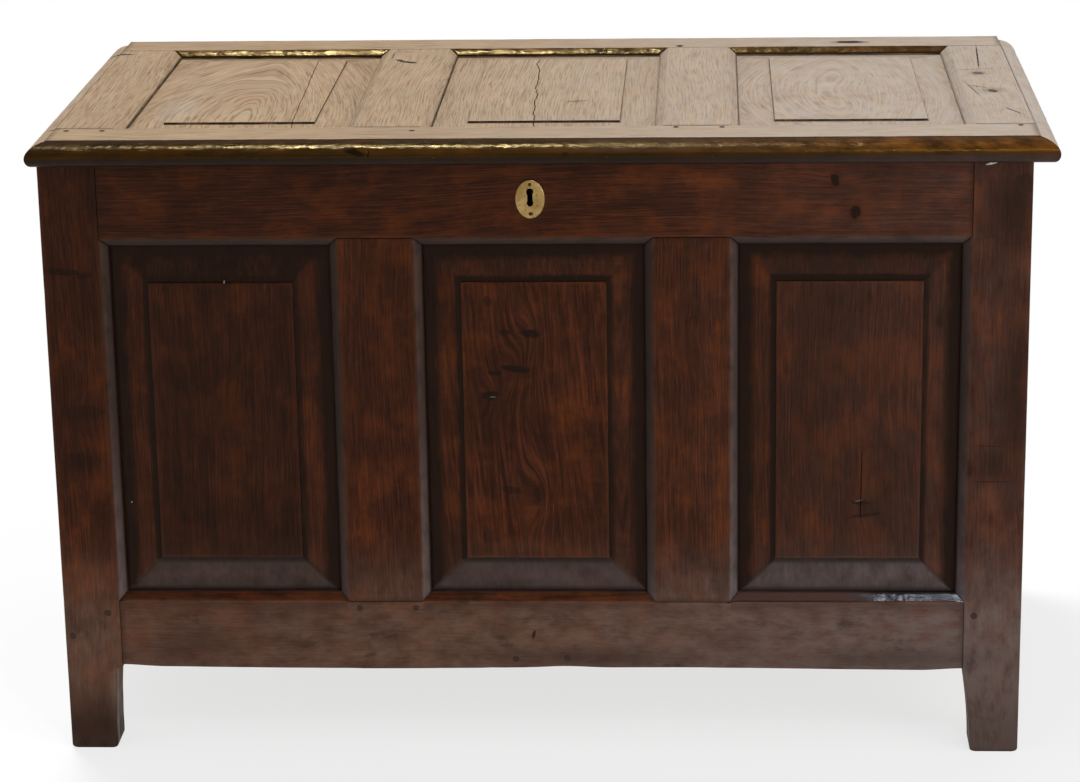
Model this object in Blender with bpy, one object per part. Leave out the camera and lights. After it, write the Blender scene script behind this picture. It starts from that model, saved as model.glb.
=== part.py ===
"""Joined oak coffer: panelled carcass and lid on stile feet, strap hinges and a chest lock.

Metres. X runs to the right, Y to the back and Z up. The origin is on the floor, under the
middle of the lid. Each panelled frame is drawn flat in its own u, v and w: u across, v up and
w out of the show face, which lies at w = 0. An empty then stands the frame in its place.
"""
from collections import namedtuple
import math

import bmesh
import bpy
from mathutils import Matrix, Vector

# Carcass
CARCASS_WIDTH = 1.100
CARCASS_DEPTH = 0.555
CARCASS_HEIGHT = 0.705
GROUND_CLEARANCE = 0.101
STILE_FACE = 0.065
STILE_DEPTH = 0.044
TOP_RAIL = 0.0915
BOTTOM_RAIL = 0.082
FRONT_MUNTIN = 0.085
END_MUNTIN = 0.080
FRAME_THICKNESS = 0.027
FOOT_TAPER = 0.010

# Chamfers, grooves and panels
CHAMFER_WIDTH = 0.010
CHAMFER_DEPTH = 0.007
CHAMFER_RUN = 0.0002
GROOVE_DEPTH = 0.008
GROOVE_SETBACK = 0.012
TONGUE = 0.006
FIELD_MARGIN = 0.052
FIELD_RECESS = 0.005
FIELD_STEP = 0.0025
PLAIN_SETBACK = 0.010
PLAIN_PANEL = 0.008

# Mortise and tenon joints
TENON_SETBACK = 0.009
TENON_THICKNESS = 0.009
TENON_SHOULDER = 0.013
TENON_ROOT = 0.004
TENON_WEB = 0.005
MUNTIN_TENON = 0.030

# Bottom
FLOOR_BOARDS = 5
FLOOR_THICKNESS = 0.014
LEDGER = 0.022
LEDGER_RISE = 0.008

# Lid
LID_THICKNESS = 0.0215
LID_OVERHANG = 0.012
LID_OFFSET = 0.009
LID_INSET = 0.003
LID_FRONT_RAIL = 0.0585
LID_BACK_RAIL = 0.0585
LID_END_STILE = 0.065
LID_MUNTIN = 0.075
LID_GROOVE_SETBACK = 0.010
LID_TONGUE = 0.005
LID_FIELD_MARGIN = 0.050
LID_FIELD_RECESS = 0.004
LID_TENON_SETBACK = 0.007
LID_TENON_THICKNESS = 0.007
LID_TENON_WEB = 0.018
MOULDING_PROJECTION = 0.021
MOULDING_NOSE_RISE = 0.0095
MOULDING_UNDERCUT = 0.009
MOULDING_QUIRK = 0.0008

# Strap hinges
HINGE_WIDTH = 0.036
STRAP_LENGTH = 0.260
STRAP_NECK = 0.045
STRAP_TIP = 0.018
TAIL_LENGTH = 0.058
LEAF_THICKNESS = 0.003
KNUCKLE_RADIUS = 0.005
KNUCKLE_LENGTH = 0.014
PIN_RADIUS = 0.0025
PIN_HEAD_RADIUS = 0.0038
PIN_HEAD = 0.0014

# Lock and escutcheon
KEYHOLE_OFFSET = -0.002
KEYHOLE_DROP = 0.047
KEYHOLE_TOP_RADIUS = 0.0040
KEYHOLE_TOP_RISE = 0.0080
KEYHOLE_FOOT_RADIUS = 0.0036
KEYHOLE_FOOT_DROP = 0.0045
KEYHOLE_WAIST = 0.0029
ESCUTCHEON_WIDTH = 0.033
ESCUTCHEON_HEIGHT = 0.045
ESCUTCHEON_THICKNESS = 0.0018
ESCUTCHEON_RIM = 0.0014
ESCUTCHEON_PIN_RADIUS = 0.0008
ESCUTCHEON_PIN_HEAD = 0.0016
ESCUTCHEON_PIN_LENGTH = 0.012
ESCUTCHEON_PIN_PITCH = 0.033
LOCK_WIDTH = 0.096
LOCK_TOP_DROP = 0.004
LOCK_BELOW_KEYHOLE = 0.036
LOCK_PLATE = 0.002
LOCK_COVER_MARGIN = 0.007
LOCK_COVER_WALL = 0.0018
BOLT_DROP = 0.024
BOLT_HEIGHT = 0.0074
BOLT_THICKNESS = 0.0044
BOLT_LENGTH = 0.042
BOLT_TRAVEL = 0.016
BOLT_TALON = 0.006
GUIDE_WIDTH = 0.006
GUIDE_WALL = 0.0025
STAPLE_OFFSET = -0.016
STAPLE_THICKNESS = 0.004
STAPLE_WALL = 0.003
STAPLE_PLATE = 0.0025
STAPLE_PLATE_WIDTH = 0.046
STAPLE_PLATE_DEPTH = 0.024
STAPLE_PLAY = 0.0014
EYE_PLAY = 0.0008

# Gaps between neighbouring pieces
FIT = 0.0003
SHOULDER_GAP = 0.0004
MITRE_GAP = 0.0002
PANEL_PLAY = 0.001
RUNNING_FIT = 0.0002
BOARD_GAP = 0.001

# Cutters run past the faces that they cut by this much
PAST = 0.002

# Derived positions
LID_DEPTH = CARCASS_DEPTH + LID_OVERHANG
LID_UNDERSIDE = CARCASS_HEIGHT + FIT
LID_TOP = LID_UNDERSIDE + LID_THICKNESS
FRONT_Y = (MOULDING_PROJECTION - LID_DEPTH) / 2
BACK_Y = FRONT_Y + CARCASS_DEPTH
CARCASS_X = -LID_OFFSET
OPENING_LOW = GROUND_CLEARANCE + BOTTOM_RAIL
OPENING_HIGH = CARCASS_HEIGHT - TOP_RAIL
HINGE_Y = BACK_Y + FIT + KNUCKLE_RADIUS
HINGE_Z = LID_UNDERSIDE - FIT - KNUCKLE_RADIUS
KEYHOLE_Z = CARCASS_HEIGHT - KEYHOLE_DROP
BOLT_Z = CARCASS_HEIGHT - BOLT_DROP
LOCK_FACE = FRAME_THICKNESS + FIT
EYE_DEPTH = BOLT_THICKNESS + 2 * EYE_PLAY
BOLT_SETBACK = LOCK_FACE + LOCK_PLATE + STAPLE_PLAY + STAPLE_WALL + EYE_DEPTH / 2

RIGHT = Vector((1, 0, 0))
BACK = Vector((0, 1, 0))
UP = Vector((0, 0, 1))

Frame = namedtuple("Frame", "stand openings thickness lip groove tongue tenon cutter")


class Rect(namedtuple("Rect", "left right low high")):
    """A rectangle in the u, v plane of a frame."""

    def grown(self, by):
        return Rect(self.left - by, self.right + by, self.low - by, self.high + by)

    def corners(self):
        return [
            (self.left, self.low),
            (self.right, self.low),
            (self.right, self.high),
            (self.left, self.high),
        ]


# Objects, materials and modifiers

def finish(name, colour, roughness, metallic=0.0):
    material = bpy.data.materials.new(name)
    material.use_nodes = True
    shader = material.node_tree.nodes["Principled BSDF"]
    shader.inputs["Base Color"].default_value = (*colour, 1.0)
    shader.inputs["Roughness"].default_value = roughness
    shader.inputs["Metallic"].default_value = metallic
    material.diffuse_color = (*colour, 1.0)
    return material


def stand(name, location, across, out, parent=None):
    """An empty whose u axis runs across and whose w axis points out of the show face."""
    empty = bpy.data.objects.new(name, None)
    bpy.context.scene.collection.objects.link(empty)
    axes = Matrix((across, out.cross(across), out)).transposed()
    empty.location = location
    empty.rotation_euler = axes.to_euler()
    empty.parent = parent
    return empty


def solid(name, bm, material, parent):
    """Turn a finished bmesh into an object; a piece with no material is a hidden tool."""
    bmesh.ops.recalc_face_normals(bm, faces=bm.faces)
    mesh = bpy.data.meshes.new(name)
    bm.to_mesh(mesh)
    bm.free()
    piece = bpy.data.objects.new(name, mesh)
    bpy.context.scene.collection.objects.link(piece)
    piece.parent = parent
    if material is None:
        piece.hide_render = True
        piece.display_type = "WIRE"
    else:
        mesh.materials.append(material)
    return piece


def shape(piece, tool, operation):
    modifier = piece.modifiers.new(tool.name, "BOOLEAN")
    modifier.operation = operation
    modifier.solver = "EXACT"
    modifier.object = tool


# Solids

def prism(bm, outline, back, front):
    """Extrude an outline in u, v from w = back to w = front."""
    face = bm.faces.new([bm.verts.new((u, v, back)) for u, v in outline])
    grown = bmesh.ops.extrude_face_region(bm, geom=[face])["geom"]
    moved = [item for item in grown if isinstance(item, bmesh.types.BMVert)]
    bmesh.ops.translate(bm, verts=moved, vec=(0, 0, front - back))


def loft(bm, rings):
    """A closed solid through rings that have the same number of points."""
    loops = [[bm.verts.new(point) for point in ring] for ring in rings]
    count = len(loops[0])
    for near, far in zip(loops, loops[1:]):
        for i in range(count):
            j = (i + 1) % count
            bm.faces.new((near[i], near[j], far[j], far[i]))
    bm.faces.new(loops[0])
    bm.faces.new(loops[-1])


def ellipse(half_u, half_v, sides, centre=(0, 0)):
    turns = [2 * math.pi * (i + 0.5) / sides for i in range(sides)]
    return [(centre[0] + half_u * math.cos(a), centre[1] + half_v * math.sin(a)) for a in turns]


def turned(bm, stations, sides, centre=(0, 0)):
    """A round solid along w through stations of place and radius."""
    rings = []
    for place, radius in stations:
        rings.append([(u, v, place) for u, v in ellipse(radius, radius, sides, centre)])
    loft(bm, rings)


# Panelled frames

def spread(left, right, low, high, count, muntin):
    """Equal openings side by side with muntins between them."""
    width = (right - left - (count - 1) * muntin) / count
    starts = [left + i * (width + muntin) for i in range(count)]
    return [Rect(start, start + width, low, high) for start in starts]


def make_frame(name, place, openings, thickness, lip, groove, tongue, tenon):
    """Frame data with one cutter that chamfers and grooves round every opening."""
    bm = bmesh.new()
    for opening in openings:
        sight = opening.grown(-lip)
        prism(bm, sight.grown(GROOVE_DEPTH).corners(), -(groove + tongue + FIT), FIT - groove)
        if lip > 0:
            slope = lip / CHAMFER_DEPTH
            mouth = opening.grown(CHAMFER_RUN + PAST * slope).corners()
            throat = sight.grown(CHAMFER_RUN - PAST * slope).corners()
            outer = [(u, v, PAST) for u, v in mouth]
            inner = [(u, v, -CHAMFER_DEPTH - PAST) for u, v in throat]
            loft(bm, [outer, inner])
    cutter = solid(name + "_openings", bm, None, place)
    return Frame(place, openings, thickness, lip, groove, tongue, tenon, cutter)


def same(a, b):
    return abs(a - b) < 1e-6


def lipped_outline(rect, frame, gap):
    """Outline of a frame piece, with a mitred lip along each opening that it borders."""
    lip = frame.lip
    points = [(rect.left, rect.low)]
    across = frame.openings if lip > 0 else []
    for o in across:
        if same(o.high, rect.low):
            points.append((o.left + gap, rect.low))
            points.append((o.left + lip + gap, rect.low - lip))
            points.append((o.right - lip - gap, rect.low - lip))
            points.append((o.right - gap, rect.low))
    points.append((rect.right, rect.low))
    for o in across:
        if same(o.left, rect.right):
            points.append((rect.right, o.low + gap))
            points.append((rect.right + lip, o.low + lip + gap))
            points.append((rect.right + lip, o.high - lip - gap))
            points.append((rect.right, o.high - gap))
    points.append((rect.right, rect.high))
    for o in reversed(across):
        if same(o.low, rect.high):
            points.append((o.right - gap, rect.high))
            points.append((o.right - lip - gap, rect.high + lip))
            points.append((o.left + lip + gap, rect.high + lip))
            points.append((o.left + gap, rect.high))
    points.append((rect.left, rect.high))
    for o in across:
        if same(o.right, rect.left):
            points.append((rect.left, o.high - gap))
            points.append((rect.left - lip, o.high - lip - gap))
            points.append((rect.left - lip, o.low + lip + gap))
            points.append((rect.left, o.low + gap))
    cleaned = []
    for i, point in enumerate(points):
        before = points[i - 1]
        if not (same(point[0], before[0]) and same(point[1], before[1])):
            cleaned.append(point)
    return cleaned


def tenon_blocks(name, frame, rects, clearance):
    """A hidden tool with one block for each tenon, or for each mortise if it has clearance."""
    setback, thickness = frame.tenon
    bm = bmesh.new()
    for rect in rects:
        outline = rect.grown(clearance).corners()
        prism(bm, outline, -(setback + thickness + clearance), clearance - setback)
    return solid(name, bm, None, frame.stand)


def end_tenons(rect, upright, length):
    """The two tenons of a rail, or of an upright piece."""
    if upright:
        left = rect.left + TENON_SHOULDER
        right = rect.right - TENON_SHOULDER
        first = Rect(left, right, rect.low - length, rect.low + TENON_ROOT)
        last = Rect(left, right, rect.high - TENON_ROOT, rect.high + length)
        return first, last
    low = rect.low + TENON_SHOULDER
    high = rect.high - TENON_SHOULDER
    first = Rect(rect.left - length, rect.left + TENON_ROOT, low, high)
    last = Rect(rect.right - TENON_ROOT, rect.right + length, low, high)
    return first, last


def member(name, frame, rect, material, gap=MITRE_GAP, tenons=()):
    """A rail, stile or muntin, with its tenons, chamfers and grooves."""
    bm = bmesh.new()
    prism(bm, lipped_outline(rect, frame, gap), -frame.thickness, 0)
    piece = solid(name, bm, material, frame.stand)
    if tenons:
        shape(piece, tenon_blocks(name + "_tenons", frame, tenons, 0.0), "UNION")
    shape(piece, frame.cutter, "DIFFERENCE")
    return piece


def mortise(host, frame, tenon):
    name = f"{host.name}_mortise_{len(host.modifiers)}"
    shape(host, tenon_blocks(name, frame, [tenon], FIT), "DIFFERENCE")


def joined(name, frame, rect, material, upright, hosts, lengths):
    """A piece tenoned between two hosts."""
    first = end_tenons(rect, upright, lengths[0])[0]
    last = end_tenons(rect, upright, lengths[1])[1]
    piece = member(name, frame, rect, material, SHOULDER_GAP, (first, last))
    mortise(hosts[0], frame, first)
    mortise(hosts[1], frame, last)
    return piece


def panel(name, frame, opening, material, margin, recess):
    """A panel with its tongue in the groove; with a margin it is raised and fielded."""
    edge = opening.grown(GROOVE_DEPTH - PANEL_PLAY - frame.lip)
    bm = bmesh.new()
    prism(bm, edge.corners(), -(frame.groove + frame.tongue), -frame.groove)
    if margin > 0:
        bm.normal_update()
        front = max(bm.faces, key=lambda face: face.calc_center_median().z)
        land = GROOVE_DEPTH - PANEL_PLAY
        slope = margin - frame.lip
        rise = frame.groove - recess - FIELD_STEP
        bmesh.ops.inset_region(bm, faces=[front], thickness=land, use_even_offset=True)
        bmesh.ops.inset_region(bm, faces=[front], thickness=slope, use_even_offset=True)
        bmesh.ops.translate(bm, verts=front.verts, vec=(0, 0, rise))
        field = bmesh.ops.extrude_face_region(bm, geom=[front])["geom"]
        bmesh.ops.delete(bm, geom=[front], context="FACES_ONLY")
        moved = [item for item in field if isinstance(item, bmesh.types.BMVert)]
        bmesh.ops.translate(bm, verts=moved, vec=(0, 0, FIELD_STEP))
    return solid(name, bm, material, frame.stand)


def foot_edge(inner, taper):
    """The hollow inner edge of a foot, from the bottom rail down to the floor."""
    points = []
    for i in range(7):
        t = i / 6
        points.append((inner + taper * math.sin(t * math.pi / 2), GROUND_CLEARANCE * (1 - t)))
    return points


def stile_outline(frame, leftmost):
    """Front outline of a corner stile with its tapering foot."""
    half = CARCASS_WIDTH / 2
    if leftmost:
        rect = Rect(-half, STILE_FACE - half, GROUND_CLEARANCE, CARCASS_HEIGHT)
        foot = [(-half, 0.0)] + foot_edge(STILE_FACE - half, -FOOT_TAPER)[:0:-1]
    else:
        rect = Rect(half - STILE_FACE, half, GROUND_CLEARANCE, CARCASS_HEIGHT)
        foot = foot_edge(half - STILE_FACE, FOOT_TAPER)[1:] + [(half, 0.0)]
    points = lipped_outline(rect, frame, MITRE_GAP)
    return points[:1] + foot + points[1:]


def end_outline(frame, leftmost):
    """Outline of a corner stile seen from the end, run past the floor and the top."""
    half = CARCASS_DEPTH / 2
    edge = -half if leftmost else half - STILE_DEPTH
    rect = Rect(edge, edge + STILE_DEPTH, -PAST, CARCASS_HEIGHT + PAST)
    return lipped_outline(rect, frame, MITRE_GAP)


def corner_stile(name, face, face_left, end, end_left, material):
    """A corner stile: what its front outline and its end outline have in common."""
    bm = bmesh.new()
    prism(bm, stile_outline(face, face_left), -(STILE_DEPTH + CHAMFER_WIDTH + PAST), PAST)
    piece = solid(name, bm, material, face.stand)
    bm = bmesh.new()
    prism(bm, end_outline(end, end_left), -(STILE_FACE + CHAMFER_WIDTH + PAST), PAST)
    shape(piece, solid(name + "_end", bm, None, end.stand), "INTERSECT")
    shape(piece, face.cutter, "DIFFERENCE")
    shape(piece, end.cutter, "DIFFERENCE")
    return piece


def wall(side, frame, names, stiles, tenon_length, material, margin):
    """Rails, muntins and panels between two corner stiles."""
    left = frame.openings[0].left + SHOULDER_GAP
    right = frame.openings[-1].right - SHOULDER_GAP
    lengths = (tenon_length, tenon_length)
    top = Rect(left, right, OPENING_HIGH, CARCASS_HEIGHT)
    top_rail = joined(side + "_top_rail", frame, top, material, False, stiles, lengths)
    low = Rect(left, right, GROUND_CLEARANCE, OPENING_LOW)
    low_rail = joined(side + "_bottom_rail", frame, low, material, False, stiles, lengths)
    gaps = list(zip(frame.openings, frame.openings[1:]))
    for i, (one, two) in enumerate(gaps):
        rect = Rect(one.right, two.left, OPENING_LOW + SHOULDER_GAP, OPENING_HIGH - SHOULDER_GAP)
        label = "_muntin" if len(gaps) == 1 else f"_muntin_{names[i * 2]}"
        rails = (low_rail, top_rail)
        joined(side + label, frame, rect, material, True, rails, (MUNTIN_TENON, MUNTIN_TENON))
    for label, opening in zip(names, frame.openings):
        panel(f"{side}_panel_{label}", frame, opening, material, margin, FIELD_RECESS)
    return top_rail


# Clear the start scene
for old in list(bpy.data.objects):
    bpy.data.objects.remove(old)

FRONT_OAK = finish("waxed_dark_oak", (0.085, 0.032, 0.016), 0.36)
LID_OAK = finish("dry_pale_oak", (0.300, 0.190, 0.110), 0.62)
MOULDING_OAK = finish("polished_moulding_oak", (0.160, 0.066, 0.028), 0.32)
INNER_OAK = finish("unpolished_oak", (0.200, 0.120, 0.068), 0.75)
IRON = finish("forged_iron", (0.060, 0.055, 0.052), 0.55, 0.9)
BRASS = finish("aged_brass", (0.420, 0.270, 0.110), 0.38, 1.0)

# The four sides of the carcass
front_stand = stand("front", (CARCASS_X, FRONT_Y, 0), RIGHT, -BACK)
back_stand = stand("back", (CARCASS_X, BACK_Y, 0), -RIGHT, BACK)
middle_y = (FRONT_Y + BACK_Y) / 2
left_stand = stand("left_end", (CARCASS_X - CARCASS_WIDTH / 2, middle_y, 0), -BACK, -RIGHT)
right_stand = stand("right_end", (CARCASS_X + CARCASS_WIDTH / 2, middle_y, 0), BACK, RIGHT)

clear_face = CARCASS_WIDTH / 2 - STILE_FACE
clear_end = CARCASS_DEPTH / 2 - STILE_DEPTH
heights = (OPENING_LOW, OPENING_HIGH)
face_openings = spread(-clear_face, clear_face, *heights, 3, FRONT_MUNTIN)
end_openings = spread(-clear_end, clear_end, *heights, 2, END_MUNTIN)
tenon_size = (TENON_SETBACK, TENON_THICKNESS)
fielded = (FRAME_THICKNESS, CHAMFER_WIDTH, GROOVE_SETBACK, TONGUE, tenon_size)
plain = (FRAME_THICKNESS, 0.0, PLAIN_SETBACK, PLAIN_PANEL, tenon_size)
front = make_frame("front", front_stand, face_openings, *fielded)
back = make_frame("back", back_stand, face_openings, *plain)
left_end = make_frame("left_end", left_stand, end_openings, *fielded)
right_end = make_frame("right_end", right_stand, end_openings, *fielded)

front_left = corner_stile("front_left_stile", front, True, left_end, False, FRONT_OAK)
front_right = corner_stile("front_right_stile", front, False, right_end, True, FRONT_OAK)
back_left = corner_stile("back_left_stile", back, False, left_end, True, FRONT_OAK)
back_right = corner_stile("back_right_stile", back, True, right_end, False, FRONT_OAK)

# Front tenons stop a web short of the end tenons, so that the two never meet in a stile
face_tenon = STILE_FACE - TENON_SETBACK - TENON_THICKNESS - TENON_WEB
end_tenon = STILE_DEPTH - TENON_SETBACK - TENON_WEB
three = ("left", "centre", "right")
front_stiles = (front_left, front_right)
front_top = wall("front", front, three, front_stiles, face_tenon, FRONT_OAK, FIELD_MARGIN)
back_stiles = (back_right, back_left)
back_top = wall("back", back, three[::-1], back_stiles, face_tenon, INNER_OAK, 0.0)
left_stiles = (back_left, front_left)
wall("left", left_end, ("back", "front"), left_stiles, end_tenon, FRONT_OAK, FIELD_MARGIN)
right_stiles = (front_right, back_right)
wall("right", right_end, ("front", "back"), right_stiles, end_tenon, FRONT_OAK, FIELD_MARGIN)

# Bottom boards, laid from front to back on a ledger along each long rail
ledger_z = GROUND_CLEARANCE + LEDGER_RISE
floor_z = ledger_z + LEDGER + FIT
plan = stand("bottom", (CARCASS_X, FRONT_Y, floor_z), RIGHT, UP)
inner = FRAME_THICKNESS + FIT
for label, edge in (("front", inner), ("back", CARCASS_DEPTH - inner - LEDGER)):
    bm = bmesh.new()
    strip = Rect(SHOULDER_GAP - clear_face, clear_face - SHOULDER_GAP, edge, edge + LEDGER)
    prism(bm, strip.corners(), -(LEDGER + FIT), -FIT)
    solid(f"{label}_ledger", bm, INNER_OAK, plan)

reach = CARCASS_WIDTH / 2 - inner
pitch = 2 * reach / FLOOR_BOARDS
near = inner
far = CARCASS_DEPTH - inner
notch = STILE_DEPTH + FIT
for i in range(FLOOR_BOARDS):
    start = i * pitch - reach + (BOARD_GAP / 2 if i > 0 else 0.0)
    end = (i + 1) * pitch - reach - (BOARD_GAP / 2 if i < FLOOR_BOARDS - 1 else 0.0)
    outline = [(start, near), (end, near), (end, far), (start, far)]
    if i == 0:
        step = FIT - clear_face
        outline[:1] = [(start, notch), (step, notch), (step, near)]
        outline[-1:] = [(step, far), (step, CARCASS_DEPTH - notch), (start, CARCASS_DEPTH - notch)]
    if i == FLOOR_BOARDS - 1:
        step = clear_face - FIT
        outline[1:3] = [
            (step, near),
            (step, notch),
            (end, notch),
            (end, CARCASS_DEPTH - notch),
            (step, CARCASS_DEPTH - notch),
            (step, far),
        ]
    bm = bmesh.new()
    prism(bm, outline, 0, FLOOR_THICKNESS)
    solid(f"bottom_board_{i + 1}", bm, INNER_OAK, plan)

# Lid: the long rails run through, the end stiles and muntins are tenoned between them
hinge = stand("lid_hinge_axis", (0, HINGE_Y, HINGE_Z), RIGHT, UP)
lid_place = (0, FRONT_Y - HINGE_Y, LID_TOP - HINGE_Z)
lid_stand = stand("lid", lid_place, RIGHT, UP, hinge)
half_lid = CARCASS_WIDTH / 2 - LID_INSET
lid_span = (LID_FRONT_RAIL, LID_DEPTH - LID_BACK_RAIL)
clear_lid = half_lid - LID_END_STILE
lid_openings = spread(-clear_lid, clear_lid, *lid_span, 3, LID_MUNTIN)
lid_tenon = (LID_TENON_SETBACK, LID_TENON_THICKNESS)
lid_sizes = (LID_THICKNESS, CHAMFER_WIDTH, LID_GROOVE_SETBACK, LID_TONGUE, lid_tenon)
lid = make_frame("lid", lid_stand, lid_openings, *lid_sizes)
front_rect = Rect(-half_lid, half_lid, 0.0, lid_span[0])
back_rect = Rect(-half_lid, half_lid, lid_span[1], LID_DEPTH)
lid_front = member("lid_front_rail", lid, front_rect, LID_OAK)
lid_back = member("lid_back_rail", lid, back_rect, LID_OAK)
lid_rails = (lid_front, lid_back)
lid_lengths = (LID_FRONT_RAIL - LID_TENON_WEB, LID_BACK_RAIL - LID_TENON_WEB)
edges = [-half_lid]
for opening in lid_openings:
    edges += [opening.left, opening.right]
edges.append(half_lid)
uprights = ("left_stile", "muntin_left", "muntin_right", "right_stile")
strap_places = []
for i, label in enumerate(uprights):
    rect = Rect(edges[2 * i], edges[2 * i + 1], lid_span[0] + SHOULDER_GAP, lid_span[1] - SHOULDER_GAP)
    joined("lid_" + label, lid, rect, LID_OAK, True, lid_rails, lid_lengths)
    if label.startswith("muntin"):
        strap_places.append((rect.left + rect.right) / 2)
for label, opening in zip(three, lid_openings):
    panel("lid_panel_" + label, lid, opening, LID_OAK, LID_FIELD_MARGIN, LID_FIELD_RECESS)


# Edge mouldings: a thumbnail section with a round nose, mitred at the front corners

def moulding_profile():
    """Points of distance out from the lid and height over its underside."""
    heel = MOULDING_PROJECTION - MOULDING_UNDERCUT
    rise = LID_THICKNESS - MOULDING_QUIRK - MOULDING_NOSE_RISE
    points = [(FIT, 0.0)]
    for i in range(6):
        a = math.pi / 2 * (i / 5 - 1)
        points.append((heel + MOULDING_UNDERCUT * math.cos(a), MOULDING_NOSE_RISE * (1 + math.sin(a))))
    for i in range(1, 11):
        a = math.pi / 2 * i / 10
        out = FIT + (MOULDING_PROJECTION - FIT) * math.cos(a)
        points.append((out, MOULDING_NOSE_RISE + rise * math.sin(a)))
    return points


profile = moulding_profile()
bm = bmesh.new()
rings = []
for hand in (-1, 1):
    tips = []
    for out, height in profile:
        tips.append((hand * (half_lid + out - FIT), -out, height - LID_THICKNESS))
    rings.append(tips)
loft(bm, rings)
solid("lid_front_moulding", bm, MOULDING_OAK, lid_stand)

turn_v = LID_DEPTH - MOULDING_PROJECTION
for label, hand in (("left", -1), ("right", 1)):
    rings = [[(hand * (half_lid + o), -o, h - LID_THICKNESS) for o, h in profile]]
    for i in range(9):
        a = math.pi / 2 * i / 8
        ring = []
        for out, height in profile:
            u = hand * (half_lid + FIT + (out - FIT) * math.cos(a))
            ring.append((u, turn_v + out * math.sin(a), height - LID_THICKNESS))
        rings.append(ring)
    bm = bmesh.new()
    loft(bm, rings)
    solid(f"lid_{label}_moulding", bm, MOULDING_OAK, lid_stand)


# Strap hinges: a rolled eye on each leaf, a strap under the lid and a tail on the back

def leaf_outline(length, quarter_turn):
    """Side view of a leaf: a plate that runs into a round eye about the hinge axis."""
    under = KNUCKLE_RADIUS - LEAF_THICKNESS
    start = math.pi - math.asin(under / KNUCKLE_RADIUS)
    points = [(-length, under)]
    for i in range(17):
        a = start + (2.5 * math.pi - start) * i / 16
        points.append((KNUCKLE_RADIUS * math.cos(a), KNUCKLE_RADIUS * math.sin(a)))
    points.append((-length, KNUCKLE_RADIUS))
    if quarter_turn:
        points = [(-v, u) for u, v in points]
    return points


def strap_outline():
    """Plan of a strap: a parallel neck, then a long taper to a round tip."""
    half = HINGE_WIDTH / 2
    tip = STRAP_TIP / 2
    points = [(half, KNUCKLE_RADIUS + PAST), (-half, KNUCKLE_RADIUS + PAST), (-half, -STRAP_NECK)]
    for i in range(9):
        a = math.pi * (1 + i / 8)
        points.append((tip * math.cos(a), tip - STRAP_LENGTH + tip * math.sin(a)))
    points.append((half, -STRAP_NECK))
    return points


def box_tool(name, rect, back, front, parent):
    bm = bmesh.new()
    prism(bm, rect.corners(), back, front)
    return solid(name, bm, None, parent)


half_hinge = HINGE_WIDTH / 2
half_knuckle = KNUCKLE_LENGTH / 2
eye_zone = Rect(0, 0, 0, 0).grown(KNUCKLE_RADIUS + PAST)
for label, place in zip(("left", "right"), strap_places):
    name = f"{label}_hinge"
    side = stand(name + "_side", (place, 0, 0), BACK, RIGHT, hinge)
    over = stand(name + "_plan", (place, 0, 0), RIGHT, UP, hinge)
    fixed = stand(name + "_fixed", (place, HINGE_Y, HINGE_Z), BACK, RIGHT)

    bore_radius = PIN_RADIUS + RUNNING_FIT
    bm = bmesh.new()
    turned(bm, [(-half_hinge - PAST, bore_radius), (half_hinge + PAST, bore_radius)], 16)
    bore = solid(name + "_bore", bm, None, fixed)

    bm = bmesh.new()
    prism(bm, leaf_outline(STRAP_LENGTH + PAST, False), -half_hinge - PAST, half_hinge + PAST)
    strap = solid(name + "_strap", bm, IRON, side)
    bm = bmesh.new()
    prism(bm, strap_outline(), -KNUCKLE_RADIUS - PAST, KNUCKLE_RADIUS + PAST)
    shape(strap, solid(name + "_strap_plan", bm, None, over), "INTERSECT")
    for end, hand in (("one", -1), ("two", 1)):
        bounds = sorted((hand * (half_knuckle - RUNNING_FIT), hand * (half_hinge + 2 * PAST)))
        tool = box_tool(f"{name}_gap_{end}", eye_zone, bounds[0], bounds[1], side)
        shape(strap, tool, "DIFFERENCE")
    shape(strap, bore, "DIFFERENCE")

    bm = bmesh.new()
    prism(bm, leaf_outline(TAIL_LENGTH, True), -half_hinge, half_hinge)
    tail = solid(name + "_tail", bm, IRON, fixed)
    gap = half_knuckle + RUNNING_FIT
    shape(tail, box_tool(name + "_gap_mid", eye_zone, -gap, gap, fixed), "DIFFERENCE")
    shape(tail, bore, "DIFFERENCE")

    end = half_hinge + FIT
    stations = [
        (-end - PIN_HEAD, PIN_HEAD_RADIUS),
        (-end, PIN_HEAD_RADIUS),
        (-end, PIN_RADIUS),
        (end, PIN_RADIUS),
        (end, PIN_HEAD_RADIUS),
        (end + PIN_HEAD, PIN_HEAD_RADIUS),
    ]
    bm = bmesh.new()
    turned(bm, stations, 16)
    solid(name + "_pin", bm, IRON, fixed)

    # Housing in the top of the back rail for the neck of the strap
    reach_in = FRAME_THICKNESS + KNUCKLE_RADIUS + PAST
    housing = Rect(-half_hinge - FIT, half_hinge + FIT, -reach_in, KNUCKLE_RADIUS)
    low = KNUCKLE_RADIUS - LEAF_THICKNESS - FIT
    floor = stand(name + "_housing_stand", (place, HINGE_Y, HINGE_Z), RIGHT, UP)
    tool = box_tool(name + "_housing", housing, low, KNUCKLE_RADIUS + PAST, floor)
    shape(back_top, tool, "DIFFERENCE")


# Lock: plate with bolt guides, cover, sliding bolt and a staple under the lid

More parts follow.
